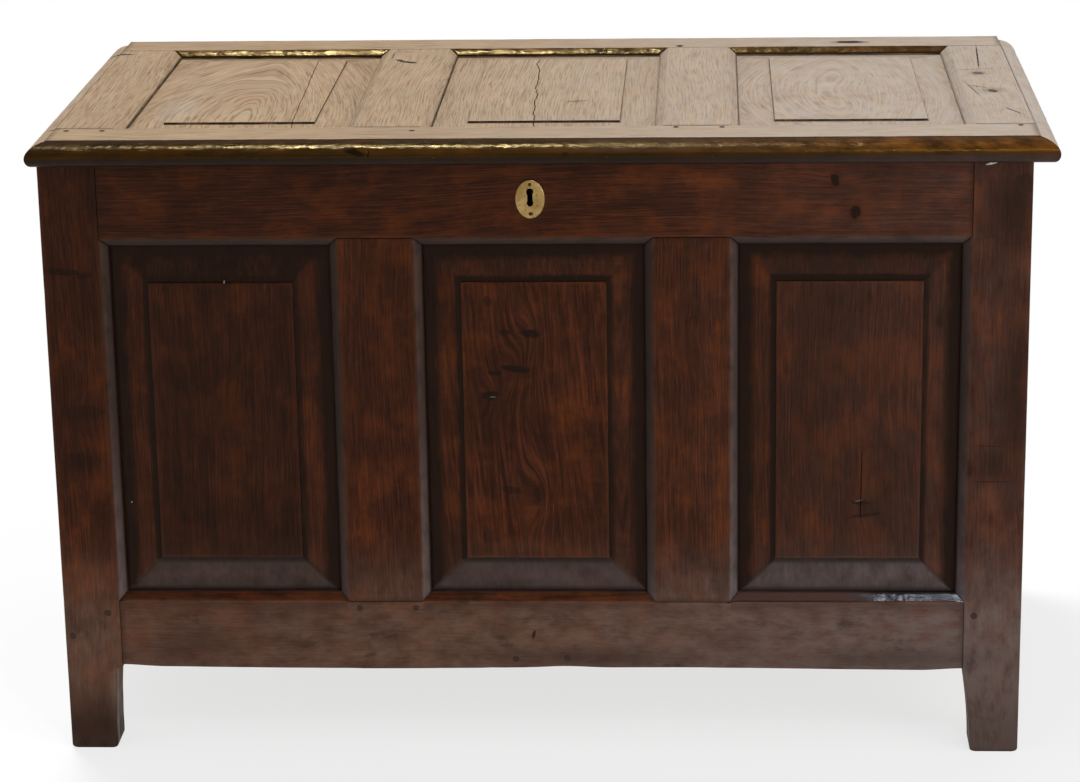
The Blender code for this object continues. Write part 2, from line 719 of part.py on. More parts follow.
def keyhole_outline():
    points = []
    waist = math.acos(KEYHOLE_WAIST / KEYHOLE_TOP_RADIUS)
    for i in range(15):
        a = -waist + (math.pi + 2 * waist) * i / 14
        u = KEYHOLE_TOP_RADIUS * math.cos(a)
        points.append((u, KEYHOLE_TOP_RISE + KEYHOLE_TOP_RADIUS * math.sin(a)))
    for i in range(9):
        a = math.pi + math.pi * i / 8
        u = KEYHOLE_FOOT_RADIUS * math.cos(a)
        points.append((u, KEYHOLE_FOOT_RADIUS * math.sin(a) - KEYHOLE_FOOT_DROP))
    return [(KEYHOLE_OFFSET + u, KEYHOLE_Z + v) for u, v in points]


def at_key(left, right, low, high):
    return Rect(KEYHOLE_OFFSET + left, KEYHOLE_OFFSET + right, low, high)


bm = bmesh.new()
prism(bm, keyhole_outline(), -(LOCK_FACE + LOCK_PLATE + PAST), FIT + ESCUTCHEON_THICKNESS + PAST)
keyhole = solid("keyhole", bm, None, front_stand)
shape(front_top, keyhole, "DIFFERENCE")

plate_top = CARCASS_HEIGHT - LOCK_TOP_DROP
plate_low = KEYHOLE_Z - LOCK_BELOW_KEYHOLE
plate = at_key(-LOCK_WIDTH / 2, LOCK_WIDTH / 2, plate_low, plate_top)
plate_back = LOCK_FACE + LOCK_PLATE
bm = bmesh.new()
prism(bm, plate.corners(), -plate_back, -LOCK_FACE)
lock_plate = solid("lock_plate", bm, IRON, front_stand)
bolt_low = BOLT_Z - BOLT_HEIGHT / 2
bolt_high = BOLT_Z + BOLT_HEIGHT / 2
bolt_near = BOLT_SETBACK - BOLT_THICKNESS / 2
bolt_far = BOLT_SETBACK + BOLT_THICKNESS / 2
bolt_left = STAPLE_OFFSET + STAPLE_THICKNESS / 2 + BOLT_TRAVEL / 2
bolt_right = bolt_left + BOLT_LENGTH
bm = bmesh.new()
for start in (bolt_left + GUIDE_WIDTH, bolt_right - 2 * GUIDE_WIDTH):
    low = bolt_low - GUIDE_WALL
    high = bolt_high + GUIDE_WALL
    guide = at_key(start, start + GUIDE_WIDTH, low, high)
    prism(bm, guide.corners(), -(bolt_far + GUIDE_WALL), -(plate_back - LOCK_PLATE / 2))
shape(lock_plate, solid("lock_guides", bm, None, front_stand), "UNION")
channel = at_key(bolt_left, bolt_right, bolt_low, bolt_high).grown(FIT)
tool = box_tool("bolt_channel", channel, -(bolt_far + FIT), FIT - bolt_near, front_stand)
shape(lock_plate, tool, "DIFFERENCE")
shape(lock_plate, keyhole, "DIFFERENCE")

outside = plate.grown(-LOCK_COVER_MARGIN)
staple_back = BOLT_SETBACK + EYE_DEPTH / 2 + STAPLE_WALL
cover_back = staple_back + STAPLE_PLAY + LOCK_COVER_WALL
bm = bmesh.new()
prism(bm, outside.corners(), -cover_back, -(plate_back + FIT))
lock_cover = solid("lock_cover", bm, IRON, front_stand)
hollow = outside.grown(-LOCK_COVER_WALL)
tool = box_tool("lock_hollow", hollow, LOCK_COVER_WALL - cover_back, -plate_back + PAST, front_stand)
shape(lock_cover, tool, "DIFFERENCE")
staple_half = STAPLE_THICKNESS / 2 + STAPLE_PLAY
slot = at_key(STAPLE_OFFSET - staple_half, STAPLE_OFFSET + staple_half, BOLT_Z, CARCASS_HEIGHT)
tool = box_tool("staple_slot", slot, -(staple_back + STAPLE_PLAY / 2), -plate_back + PAST, front_stand)
shape(lock_cover, tool, "DIFFERENCE")

bolt_place = (CARCASS_X + KEYHOLE_OFFSET, FRONT_Y + BOLT_SETBACK, BOLT_Z)
bolt_stand = stand("bolt_slide", bolt_place, RIGHT, -BACK)
bar = Rect(bolt_left, bolt_right, -BOLT_HEIGHT / 2, BOLT_HEIGHT / 2)
bm = bmesh.new()
prism(bm, bar.corners(), -BOLT_THICKNESS / 2, BOLT_THICKNESS / 2)
lock_bolt = solid("lock_bolt", bm, IRON, bolt_stand)
talon_mid = (bolt_left + bolt_right) / 2
stations = [(-BOLT_THICKNESS, BOLT_TALON / 2), (BOLT_THICKNESS, BOLT_TALON / 2)]
bm = bmesh.new()
turned(bm, stations, 16, (talon_mid, bar.low))
shape(lock_bolt, solid("bolt_talon", bm, None, bolt_stand), "DIFFERENCE")

staple_x = CARCASS_X + KEYHOLE_OFFSET + STAPLE_OFFSET
staple_place = (staple_x, FRONT_Y + BOLT_SETBACK - HINGE_Y, LID_UNDERSIDE - FIT - HINGE_Z)
staple_stand = stand("staple", staple_place, RIGHT, UP, hinge)
staple_side = stand("staple_side", staple_place, BACK, RIGHT, hinge)
leg = EYE_DEPTH / 2 + STAPLE_WALL
half_plate = STAPLE_PLATE_WIDTH / 2
bm = bmesh.new()
prism(bm, Rect(-half_plate, half_plate, -leg, STAPLE_PLATE_DEPTH - leg).corners(), -STAPLE_PLATE, 0)
lid_staple = solid("lid_staple", bm, IRON, staple_stand)
eye_height = BOLT_HEIGHT + 2 * EYE_PLAY
eye_mid = LID_UNDERSIDE - FIT - BOLT_Z
leg_end = eye_mid + eye_height / 2
outline = [(leg, -STAPLE_PLATE / 2), (-leg, -STAPLE_PLATE / 2)]
for i in range(9):
    a = math.pi * (1 + i / 8)
    outline.append((leg * math.cos(a), leg * math.sin(a) - leg_end + EYE_DEPTH / 2))
bm = bmesh.new()
prism(bm, outline, -STAPLE_THICKNESS / 2, STAPLE_THICKNESS / 2)
shape(lid_staple, solid("staple_leg", bm, None, staple_side), "UNION")
eye = Rect(-EYE_DEPTH / 2, EYE_DEPTH / 2, -eye_mid - eye_height / 2, eye_height / 2 - eye_mid)
tool = box_tool("staple_eye", eye, -STAPLE_THICKNESS, STAPLE_THICKNESS, staple_side)
shape(lid_staple, tool, "DIFFERENCE")

# Oval escutcheon with one pin left in its upper hole
plate_face = FIT + ESCUTCHEON_THICKNESS
rim = plate_face - ESCUTCHEON_THICKNESS / 2
oval = []
for place, shrink in ((FIT, 0.0), (rim, 0.0), (plate_face, ESCUTCHEON_RIM)):
    half_u = ESCUTCHEON_WIDTH / 2 - shrink
    half_v = ESCUTCHEON_HEIGHT / 2 - shrink
    oval.append([(u, v, place) for u, v in ellipse(half_u, half_v, 48, (KEYHOLE_OFFSET, KEYHOLE_Z))])
bm = bmesh.new()
loft(bm, oval)
escutcheon = solid("escutcheon", bm, BRASS, front_stand)
shape(escutcheon, keyhole, "DIFFERENCE")
hole_radius = ESCUTCHEON_PIN_RADIUS + FIT
bm = bmesh.new()
for rise in (ESCUTCHEON_PIN_PITCH / 2, -ESCUTCHEON_PIN_PITCH / 2):
    stations = [(-ESCUTCHEON_PIN_LENGTH - FIT, hole_radius), (plate_face + PAST, hole_radius)]
    turned(bm, stations, 12, (KEYHOLE_OFFSET, KEYHOLE_Z + rise))
pin_holes = solid("escutcheon_pin_holes", bm, None, front_stand)
shape(escutcheon, pin_holes, "DIFFERENCE")
shape(front_top, pin_holes, "DIFFERENCE")
head = plate_face + FIT
stations = [
    (-ESCUTCHEON_PIN_LENGTH, ESCUTCHEON_PIN_RADIUS),
    (head, ESCUTCHEON_PIN_RADIUS),
    (head, ESCUTCHEON_PIN_HEAD),
    (head + ESCUTCHEON_PIN_HEAD / 4, ESCUTCHEON_PIN_HEAD),
    (head + ESCUTCHEON_PIN_HEAD / 2, ESCUTCHEON_PIN_HEAD * 0.7),
]
bm = bmesh.new()
turned(bm, stations, 12, (KEYHOLE_OFFSET, KEYHOLE_Z + ESCUTCHEON_PIN_PITCH / 2))
solid("escutcheon_pin", bm, BRASS, front_stand)
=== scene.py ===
# %% [markdown]
# # A joined oak coffer
# This lesson dresses a imported CAD model of an old oak coffer: a chest of frames and fielded
# panels with a hinged lid. The CAD model fixes every place and size. Here each board is built
# once more with soft worn edges and a grain of its own, and gets a finish made from nodes.
# The CAD model is imported first, and every piece below rides on an empty for its body, the carcass or the
# lid.

# %% Load the imported coffer
import math

import bmesh
import bpy
import numpy as np
from mathutils import Matrix, Vector, noise


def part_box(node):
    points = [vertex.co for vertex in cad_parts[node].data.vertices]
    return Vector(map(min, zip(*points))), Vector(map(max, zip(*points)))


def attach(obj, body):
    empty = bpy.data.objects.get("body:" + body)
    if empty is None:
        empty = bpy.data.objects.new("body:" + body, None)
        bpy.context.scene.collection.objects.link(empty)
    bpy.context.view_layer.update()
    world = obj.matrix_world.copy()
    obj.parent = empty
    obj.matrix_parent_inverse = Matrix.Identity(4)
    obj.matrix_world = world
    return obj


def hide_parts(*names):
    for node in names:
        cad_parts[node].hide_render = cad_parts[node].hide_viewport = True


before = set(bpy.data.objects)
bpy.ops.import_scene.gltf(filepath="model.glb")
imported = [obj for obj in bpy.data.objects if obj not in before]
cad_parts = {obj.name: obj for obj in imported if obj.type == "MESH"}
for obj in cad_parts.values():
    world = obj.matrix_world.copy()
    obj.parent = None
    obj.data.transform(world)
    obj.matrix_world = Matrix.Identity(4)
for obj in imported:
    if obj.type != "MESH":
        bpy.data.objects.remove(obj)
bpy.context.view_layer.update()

# %% [markdown]
# ## Camera
# The picture was taken with a long lens, a little above the coffer and a little to its right.
# A camera can be aimed by eye, but the corners of the frame allow a fit: the three axes below
# come from it. Blender's camera looks along its own minus Z, so the columns of the matrix are
# the right, the up and the backward direction.

# %% Set up the camera
LENS_PIXELS = 3267.5
PHOTO_WIDTH = 1080

camera_data = bpy.data.cameras.new("camera")
camera_data.sensor_fit = "HORIZONTAL"
camera_data.sensor_width = 36.0
camera_data.lens = 36.0 * LENS_PIXELS / PHOTO_WIDTH
camera_data.clip_end = 50.0
camera = bpy.data.objects.new("camera", camera_data)
bpy.context.scene.collection.objects.link(camera)
right = Vector((0.998666, 0.048995, -0.016330))
up = Vector((0.001175, 0.294556, 0.955633))
back = Vector((0.051631, -0.954377, 0.294105))
turn = Matrix((right, up, back)).transposed().to_4x4()
camera.matrix_world = Matrix.Translation((0.18607, -3.77743, 1.51597)) @ turn
bpy.context.scene.camera = camera
print("lens", round(camera_data.lens, 1), "mm")

# %% [markdown]
# ## Nodes, colours and light
# Every material below is a small tree of nodes. One helper adds a node, sets its values and
# links its sockets, so that a tree reads like a recipe. Colours are written as the hex values
# of a screen and turned into the linear values that the renderer works in.

# %% Helpers for node trees
def put(tree, kind, inputs=(), **settings):
    """Add a node. Inputs come by key or in order; a socket is linked, any other value is set."""
    node = tree.nodes.new(kind)
    for key, value in settings.items():
        setattr(node, key, value)
    for key, value in inputs.items() if isinstance(inputs, dict) else enumerate(inputs):
        if isinstance(value, bpy.types.NodeSocket):
            tree.links.new(value, node.inputs[key])
        else:
            node.inputs[key].default_value = value
    return node


def colour(hex_text):
    """Linear colour of a screen colour such as #3a1e13."""
    out = []
    for i in (1, 3, 5):
        c = int(hex_text[i:i + 2], 16) / 255
        out.append(c / 12.92 if c <= 0.04045 else ((c + 0.055) / 1.055) ** 2.4)
    return (*out, 1.0)


def new_material(name):
    """An empty material with a principled shader, and the tree to build in."""
    material = bpy.data.materials.new(name)
    material.use_nodes = True
    tree = material.node_tree
    tree.nodes.clear()
    shader = put(tree, "ShaderNodeBsdfPrincipled")
    put(tree, "ShaderNodeOutputMaterial", {"Surface": shader.outputs[0]})
    return material, tree, shader


print("mid brown is", [round(c, 4) for c in colour("#3a1e13")])

# %% [markdown]
# ## Studio
# The coffer stands on a plain white sheet under soft light. A lamp about a metre square hangs high
# over the back left, which puts golden lines along the lid's edge, a weaker one stands at the
# right, and a small window in front puts a gleam on thick wax. The white behind comes by way of
# the Light Path node: rays from the camera and from polished faces see white up to a dimmer
# ceiling, while the light that falls on the wood stays at a plain level. The sheet is white paper
# with a share of that glow, so it still keeps the shadow.

# %% Floor, world and lamps
def room_rays(tree):
    """1 for rays from the camera and for those that mirror or pass through, else 0."""
    path = put(tree, "ShaderNodeLightPath").outputs
    seen = path["Is Camera Ray"]
    for kind in ("Is Glossy Ray", "Is Transmission Ray"):
        seen = put(tree, "ShaderNodeMath", {0: seen, 1: path[kind]}, operation="MAXIMUM").outputs[0]
    return seen


bpy.context.scene.view_settings.view_transform = "Standard"
world = bpy.data.worlds.new("studio")
world.use_nodes = True
tree = world.node_tree
tree.nodes.clear()
seen = room_rays(tree)
heading = put(tree, "ShaderNodeSeparateXYZ", {0: put(tree, "ShaderNodeTexCoord").outputs["Generated"]})
ceiling = put(tree, "ShaderNodeMapRange", {
    "Value": heading.outputs["Z"], "From Min": 0.09, "From Max": 0.22, "To Min": 1.0, "To Max": 0.30})
strength = put(tree, "ShaderNodeMapRange", {
    "Value": seen, "To Min": 0.50, "To Max": ceiling.outputs[0]})
glow = put(tree, "ShaderNodeBackground", {"Color": (1, 1, 1, 1), "Strength": strength.outputs[0]})
put(tree, "ShaderNodeOutputWorld", {"Surface": glow.outputs[0]})
bpy.context.scene.world = world

# White paper: matte, with hardly any gloss
sheet_white, tree, shader = new_material("white_paper")
speckle = put(tree, "ShaderNodeTexNoise", {"Scale": 40.0, "Detail": 2.0})
tint = put(tree, "ShaderNodeMix", {0: speckle.outputs[0], 6: (0.93, 0.93, 0.93, 1), 7: (0.95, 0.95, 0.95, 1)},
           data_type="RGBA")
tree.links.new(tint.outputs[2], shader.inputs["Base Color"])
shader.inputs["Roughness"].default_value = 0.9
shader.inputs["Specular IOR Level"].default_value = 0.1
seen = room_rays(tree)
reach = put(tree, "ShaderNodeVectorMath", {0: put(tree, "ShaderNodeTexCoord").outputs["Object"]},
            operation="LENGTH")
share = put(tree, "ShaderNodeMapRange", {
    "Value": reach.outputs["Value"], "From Min": 0.6, "From Max": 1.9, "To Min": 0.72, "To Max": 1.0})
share = put(tree, "ShaderNodeMath", {0: share.outputs[0], 1: seen}, operation="MULTIPLY")
glow = put(tree, "ShaderNodeEmission", {"Color": (1, 1, 1, 1), "Strength": 1.0})
paper = put(tree, "ShaderNodeMixShader", {0: share.outputs[0], 1: shader.outputs[0], 2: glow.outputs[0]})
end = next(n for n in tree.nodes if n.bl_idname == "ShaderNodeOutputMaterial")
tree.links.new(paper.outputs[0], end.inputs["Surface"])

sheet_mesh = bpy.data.meshes.new("floor")
sheet_mesh.from_pydata([(-9, -9, 0), (9, -9, 0), (9, 9, 0), (-9, 9, 0)], [], [(0, 1, 2, 3)])
floor = bpy.data.objects.new("floor", sheet_mesh)
floor.data.materials.append(sheet_white)
bpy.context.scene.collection.objects.link(floor)


def soft_lamp(name, place, target, width, length, power):
    """An area lamp that faces its target."""
    data = bpy.data.lights.new(name, "AREA")
    data.shape = "RECTANGLE"
    data.size = width
    data.size_y = length
    data.energy = power
    lamp = bpy.data.objects.new(name, data)
    aim = Vector(target) - Vector(place)
    lamp.matrix_world = Matrix.Translation(place) @ aim.to_track_quat("-Z", "Y").to_matrix().to_4x4()
    bpy.context.scene.collection.objects.link(lamp)


soft_lamp("overhead", (-1.05, 1.33, 10.0), (-0.1, 0.1, 0.7), 1.10, 1.15, 605.0)
soft_lamp("window", (0.78, -2.46, 2.7), (0.44, -0.27, 0.19), 0.22, 0.5, 12.0)
soft_lamp("side_right", (2.6, -2.2, 1.5), (0.1, -0.1, 0.4), 1.6, 1.6, 24.0)

# %% [markdown]
# ## Oak
# Oak shows long fibres, rings that swing round knots, and fine open pores. The grain here is
# not painted by place but by two coordinates that each board carries at its vertices: "grain"
# holds the way along the fibre, a ring distance across it, and the depth. Noise that is
# stretched along the first of them gives streaks, and because the ring distance bends round a
# knot, the streaks bend with it. A second attribute, "tone", holds how much old wax and dirt,
# wear and dust a place has gathered: black in the corners, bare on the edges.

# %% Patterns that the finishes share
def fibre_noise(tree, grain, along, across, detail):
    """Noise stretched along the fibre."""
    scaled = put(tree, "ShaderNodeMapping", {"Vector": grain, "Scale": (along, across, across)})
    return put(tree, "ShaderNodeTexNoise", {
        "Vector": scaled.outputs[0], "Scale": 1.0, "Detail": detail, "Roughness": 0.6}).outputs[0]


def marks(tree, place, spots):
    """Strength of small ragged ellipses at fixed places: (place, half sizes, turn, amount)."""
    if not spots:
        return 0.0
    ragged = put(tree, "ShaderNodeTexNoise", {"Vector": place, "Scale": 170.0, "Detail": 4.0}).outputs[0]
    ragged = put(tree, "ShaderNodeMath", (ragged, 0.9, -0.45), operation="MULTIPLY_ADD").outputs[0]
    total = 0.0
    for spot, half, turn, amount in spots:
        near = put(tree, "ShaderNodeMapping", {
            "Vector": place, "Location": spot, "Rotation": turn, "Scale": half}, vector_type="TEXTURE")
        away = put(tree, "ShaderNodeVectorMath", {0: near.outputs[0]}, operation="LENGTH").outputs["Value"]
        edge = put(tree, "ShaderNodeMath", (away, ragged), operation="ADD").outputs[0]
        mark = put(tree, "ShaderNodeMapRange", (edge, 1.15, 0.75, 0.0, amount)).outputs[0]
        total = put(tree, "ShaderNodeMath", (total, mark), operation="MAXIMUM").outputs[0]
    return total


print("patterns", [f.__name__ for f in (fibre_noise, marks)])

# %% One recipe for every oak finish
# Cells of noise in a metre along and across the fibre, and their detail: 34 across make bands some
# 30 mm wide, 720 make pores of 1.4 mm, coarser than real ones so that they show
FIBRES = (("band", 2.2, 34.0, 2.0), ("streak", 5.0, 190.0, 3.0), ("thread", 14.0, 560.0, 2.0),
          ("fleck", 60.0, 460.0, 2.0), ("pore", 20.0, 720.0, 1.0), ("cloud", 8.0, 12.0, 4.0),
          ("blot", 19.0, 27.0, 5.0), ("patch", 34.0, 60.0, 4.0), ("swell", 48.0, 66.0, 2.0))


def oak(name, wood, ageing, rough, shine, tint, figure, rings, clouds, warm=0.0, wax=0.0, waves=0.5,
        scars=(), chips_and_glints=()):
    """An oak finish.

    wood: dark, middle, pale and ember colour; ageing: colour of dirt, bare wood and dust, and of
    dust at the coffer's right, where that is another, a greyer colour that paints a sheen there;
    rough: least, most and what dirt adds; figure: strength of bands, streaks, threads and flecks;
    rings: spacing, strength and thinness of the ring lines, and how rare the pores are;
    clouds: darkest and lightest shade; warm and wax: ember and black patches.
    """
    dark, mid, pale, ember = [colour(c) for c in wood]
    dirt, bare, dust, *right_dust_and_sheen = [colour(c) for c in ageing]
    material, tree, shader = new_material(name)
    grain = put(tree, "ShaderNodeAttribute", attribute_name="grain").outputs["Vector"]
    tone = put(tree, "ShaderNodeAttribute", attribute_name="tone").outputs["Vector"]
    place = put(tree, "ShaderNodeTexCoord").outputs["Object"]
    fibre = {label: fibre_noise(tree, grain, *sizes) for label, *sizes in FIBRES}
    lines = 0.675 - 0.5 * sum(figure)
    for label, amount in zip(("band", "streak", "thread", "fleck"), figure):
        lines = put(tree, "ShaderNodeMath", (fibre[label], amount, lines),
                    operation="MULTIPLY_ADD").outputs[0]
    # Late wood: a thin dark line for each ring, broken up where the pores are shut
    ring = put(tree, "ShaderNodeSeparateXYZ", {0: grain}).outputs[1]
    wander = put(tree, "ShaderNodeMath", (fibre["streak"], 3.0), operation="MULTIPLY").outputs[0]
    ring = put(tree, "ShaderNodeMath", (ring, 2 * math.pi / rings[0], wander),
               operation="MULTIPLY_ADD").outputs[0]
    ring = put(tree, "ShaderNodeMath", (ring,), operation="SINE").outputs[0]
    # Shares from 0 up: each has a source, the limits it is read between and what they become
    share = dict(zip(("dirty", "worn", "dusty"), put(tree, "ShaderNodeSeparateXYZ", {0: tone}).outputs))
    share["scars"] = marks(tree, place, scars)
    share["chips_and_glints"] = marks(tree, place, chips_and_glints)
    share["relief"] = lines
    for label, source, *limits in (
            ("middle", lines, 0.40, 0.675), ("pale", lines, 0.675, 0.95),
            ("ember", fibre["blot"], 0.48, 0.66, 0.0, warm), ("ring", ring, rings[2], 1.0),
            ("shut", fibre["pore"], 0.38, 0.62, 0.0, rings[1]),
            ("pore", fibre["pore"], rings[3], rings[3] + 0.08, 0.0, rings[1]),
            ("shade", fibre["cloud"], 0.3, 0.7, *clouds),
            ("rubbed", fibre["patch"], 0.35, 0.62, 0.0, 0.75),
            ("uneven", fibre["patch"], 0.3, 0.7, 0.50, 1.40),
            ("in_grain", fibre["fleck"], 0.35, 0.65, 0.90, 1.10),
            ("grime", fibre["patch"], 0.3, 0.7, 0.75, 1.20),
            ("wax", fibre["blot"], 0.42, 0.28, 0.0, wax),
            ("dull", fibre["patch"], 0.3, 0.7, *rough[:2])):
        share[label] = put(tree, "ShaderNodeMapRange", (source, *limits)).outputs[0]
    for label, operation, a, b in (
            ("ring", "MULTIPLY", "ring", "shut"), ("pores", "MAXIMUM", "ring", "pore"),
            ("rubbed", "MULTIPLY", "rubbed", "worn"), ("dust", "MULTIPLY", "uneven", "in_grain"),
            ("dust", "MULTIPLY", "dust", "dusty"), ("black", "MULTIPLY", "grime", "dirty"),
            ("black", "MAXIMUM", "black", "wax"), ("black", "MAXIMUM", "black", "scars"),
            ("black", "MINIMUM", "black", 1.0), ("black", "MULTIPLY", "black", 0.95)):
        share[label] = put(tree, "ShaderNodeMath", (share[a], share.get(b, b)),
                           operation=operation).outputs[0]
    # Colour, from the wood out to what lies on it
    base = dark
    for label, over in (("middle", mid), ("pale", pale), ("ember", ember), ("pores", dark)):
        base = put(tree, "ShaderNodeMix", {0: share[label], 6: base, 7: over}, data_type="RGBA").outputs[2]
    base = put(tree, "ShaderNodeVectorMath", {0: base, "Scale": share["shade"]}, operation="SCALE").outputs[0]
    # Painted sheen: towards the coffer's right the dust colour turns greyer and purplish
    if right_dust_and_sheen:
        to_right = put(tree, "ShaderNodeSeparateXYZ", {0: place}).outputs[0]
        to_right = put(tree, "ShaderNodeMapRange", (to_right, -0.1, 0.45)).outputs[0]
        dust = put(tree, "ShaderNodeMix", {0: to_right, 6: dust, 7: right_dust_and_sheen[0]}, data_type="RGBA").outputs[2]
    # The pale colour of the chips also paints small highlights on edges
    for label, over in (("rubbed", bare), ("dust", dust), ("black", dirt), ("chips_and_glints", colour("#cfc8c0"))):
        base = put(tree, "ShaderNodeMix", {0: share[label], 6: base, 7: over}, data_type="RGBA").outputs[2]
    # What dulls the surface, and what raises or sinks it
    for label, value, amount in (
            ("dull", share["black"], rough[2]), ("dull", share["dusty"], 0.25),
            ("dull", share["pores"], 0.35), ("relief", share["pores"], -0.8),
            ("relief", fibre["swell"], waves), ("relief", share["black"], -1.0)):
        share[label] = put(tree, "ShaderNodeMath", (value, amount, share[label]),
                           operation="MULTIPLY_ADD").outputs[0]
    bump = put(tree, "ShaderNodeBump", {"Strength": 0.45, "Distance": 0.0005, "Height": share["relief"]})
    for socket, value in (("Base Color", base), ("Roughness", share["dull"]),
                          ("Normal", bump.outputs[0])):
        tree.links.new(value, shader.inputs[socket])
    shader.inputs["IOR"].default_value = 1.5
    shader.inputs["Specular IOR Level"].default_value = shine
    shader.inputs["Specular Tint"].default_value = colour(tint)
    return material


def front_mark(u, z, half_u, half_z, turn, amount):
    """A mark on the front: place, half sizes, turn in degrees and strength."""
    return (u - 0.009, -0.270, z), (half_u, 0.02, half_z), (0, math.radians(turn), 0), amount


def lid_mark(u, v, half_u, half_v, turn, amount):
    """A mark on the top of the lid."""
    return (u, v - 0.273, 0.724), (half_u, half_v, 0.01), (0, 0, math.radians(turn)), amount


print("fibre scales", [f[0] for f in FIBRES])

# %% The finishes
FRONT_SCARS = [front_mark(*row) for row in (
    (-0.0046, 0.5016, 0.013, 0.0050, 4, 1.0), (-0.034, 0.5030, 0.007, 0.0040, 0, 0.8),
    (-0.022, 0.4607, 0.019, 0.0042, 8, 1.0), (-0.045, 0.4560, 0.009, 0.0030, 0, 0.9),
    (-0.051, 0.429, 0.010, 0.0060, 0, 1.0), (-0.052, 0.540, 0.005, 0.0060, 0, 0.7),
    (0.0035, 0.3125, 0.008, 0.012, 0, 0.7), (-0.030, 0.317, 0.012, 0.0050, 10, 0.7),
    (0.333, 0.678, 0.005, 0.008, -20, 1.0), (0.356, 0.642, 0.007, 0.009, 10, 1.0),
    (-0.527, 0.576, 0.024, 0.0045, 4, 0.9), (0.366, 0.302, 0.010, 0.0040, 6, 0.85),
    (0.372, 0.287, 0.018, 0.0026, -8, 0.8), (0.513, 0.3285, 0.026, 0.0011, 0, 0.6),
    (0.513, 0.3705, 0.024, 0.0011, 2, 0.5), (0.541, 0.350, 0.0011, 0.020, 0, 0.5),
    (0.4885, 0.350, 0.0011, 0.018, 0, 0.5), (-0.0065, 0.143, 0.002, 0.007, 15, 0.85),
    (-0.503, 0.572, 0.012, 0.0040, -8, 0.8), (-0.515, 0.411, 0.030, 0.0100, 0, 0.70),
    (-0.520, 0.356, 0.020, 0.0080, 8, 0.75), (-0.540, 0.520, 0.007, 0.018, 0, 0.55),
    (-0.532, 0.682, 0.020, 0.016, 0, 0.55), (-0.487, 0.662, 0.006, 0.042, 3, 0.70),
    (0.540, 0.672, 0.016, 0.014, 0, 0.60), (0.524, 0.615, 0.027, 0.015, 8, 0.50),
    (0.541, 0.476, 0.010, 0.034, 0, 0.60), (0.539, 0.430, 0.013, 0.022, 4, 0.60),
    (0.541, 0.389, 0.010, 0.018, 0, 0.55), (0.487, 0.345, 0.006, 0.012, 0, 0.60))]
# Pale chips: the first is paint lost on the right stile; the small ones on field edges and by knots are
# painted highlights
FRONT_CHIPS_AND_GLINTS = [front_mark(*row) for row in (
    (0.5053, 0.6961, 0.0075, 0.0012, -14, 0.9), (-0.3470, 0.5622, 0.0010, 0.0015, 0, 0.4),
    (-0.4660, 0.300, 0.0010, 0.0012, 0, 0.4), (-0.4680, 0.196, 0.0012, 0.0020, 0, 0.35),
    (-0.0480, 0.4275, 0.0040, 0.0007, 0, 0.14), (0.3640, 0.3040, 0.0050, 0.0007, -10, 0.14))]
LID_SCARS = [lid_mark(*row) for row in (
    (0.3623, 0.5334, 0.022, 0.008, 0, 1.0), (0.1506, 0.5149, 0.005, 0.006, 0, 1.0),
    (-0.181, 0.424, 0.014, 0.0050, -30, 1.0), (-0.193, 0.436, 0.007, 0.0035, -40, 1.0),
    (-0.190, 0.488, 0.014, 0.0012, 0, 0.8), (-0.203, 0.465, 0.0012, 0.024, 0, 0.7),
    (0.5057, 0.3372, 0.008, 0.009, 0, 0.75), (0.5150, 0.235, 0.006, 0.008, 20, 0.9),
    (0.5127, 0.435, 0.0010, 0.075, -3, 1.0), (0.500, 0.260, 0.016, 0.0014, -38, 0.8),
    (0.4925, 0.245, 0.0010, 0.045, 8, 0.7), (0.530, 0.125, 0.0013, 0.022, 25, 0.9),
    (0.500, 0.360, 0.030, 0.0012, 10, 0.7), (-0.547, 0.4835, 0.020, 0.004, 0, 0.9),
    (-0.547, 0.0577, 0.009, 0.003, 0, 0.9), (0.035, 0.21, 0.012, 0.004, 10, 0.5))]
EDGE_SCARS = [
    ((-0.202, -0.292, 0.7155), (0.013, 0.01, 0.0035), (0, 0.3, 0), 1.0),
    ((-0.187, -0.293, 0.7110), (0.0016, 0.01, 0.0070), (0, 0.1, 0), 1.0),
    ((0.030, -0.293, 0.7120), (0.006, 0.01, 0.0030), (0, 0.2, 0), 0.8)]
# Dark oak under many coats of wax: satin, with reddish brown wood and black corners; its dust turns greyer at
# the right as a painted sheen
FRONT_OAK = oak(
    "dark_waxed_oak", ("#180a06", "#36190d", "#552919", "#602d0e"),
    ("#0d0908", "#6b3d22", "#70594c", "#645550"), (0.24, 0.44, 0.0), 0.25, "#c79880",
    (0.20, 0.28, 0.85, 0.40), (0.0065, 0.45, 0.50, 0.56), (0.66, 1.30), 0.60, 0.62, 0.6,
    FRONT_SCARS, FRONT_CHIPS_AND_GLINTS)
# Wax and soot that no cloth takes out of the chamfers: purplish black with a shine; its dust turns greyer at
# the right as a painted sheen
CHAMFER_WAX = oak(
    "dark_chamfer_wax", ("#140c09", "#241711", "#34231b", "#43230f"),
    ("#0b0908", "#5f3b28", "#615452", "#625a5c"), (0.24, 0.42, 0.0), 0.18, "#e4c4b0",
    (0.3, 0.3, 0.4, 0.3), (0.0065, 0.2, 0.6, 0.60), (0.75, 1.25), 0.30, 0.3)
# Thick wax that ran down and set: black and glossy
THICK_WAX = oak(
    "thick_glossy_wax", ("#0f0b0a", "#181210", "#241b19", "#2c1c12"), ("#43230f", "#3a2a22", "#2c1a11"),
    (0.10, 0.30, 0.45), 0.45, "#eaf0ff", (0.3, 0.3, 0.4, 0.5), (0.0065, 0.2, 0.6, 0.60), (0.8, 1.2),
    0.0, 0.0, 4.5)
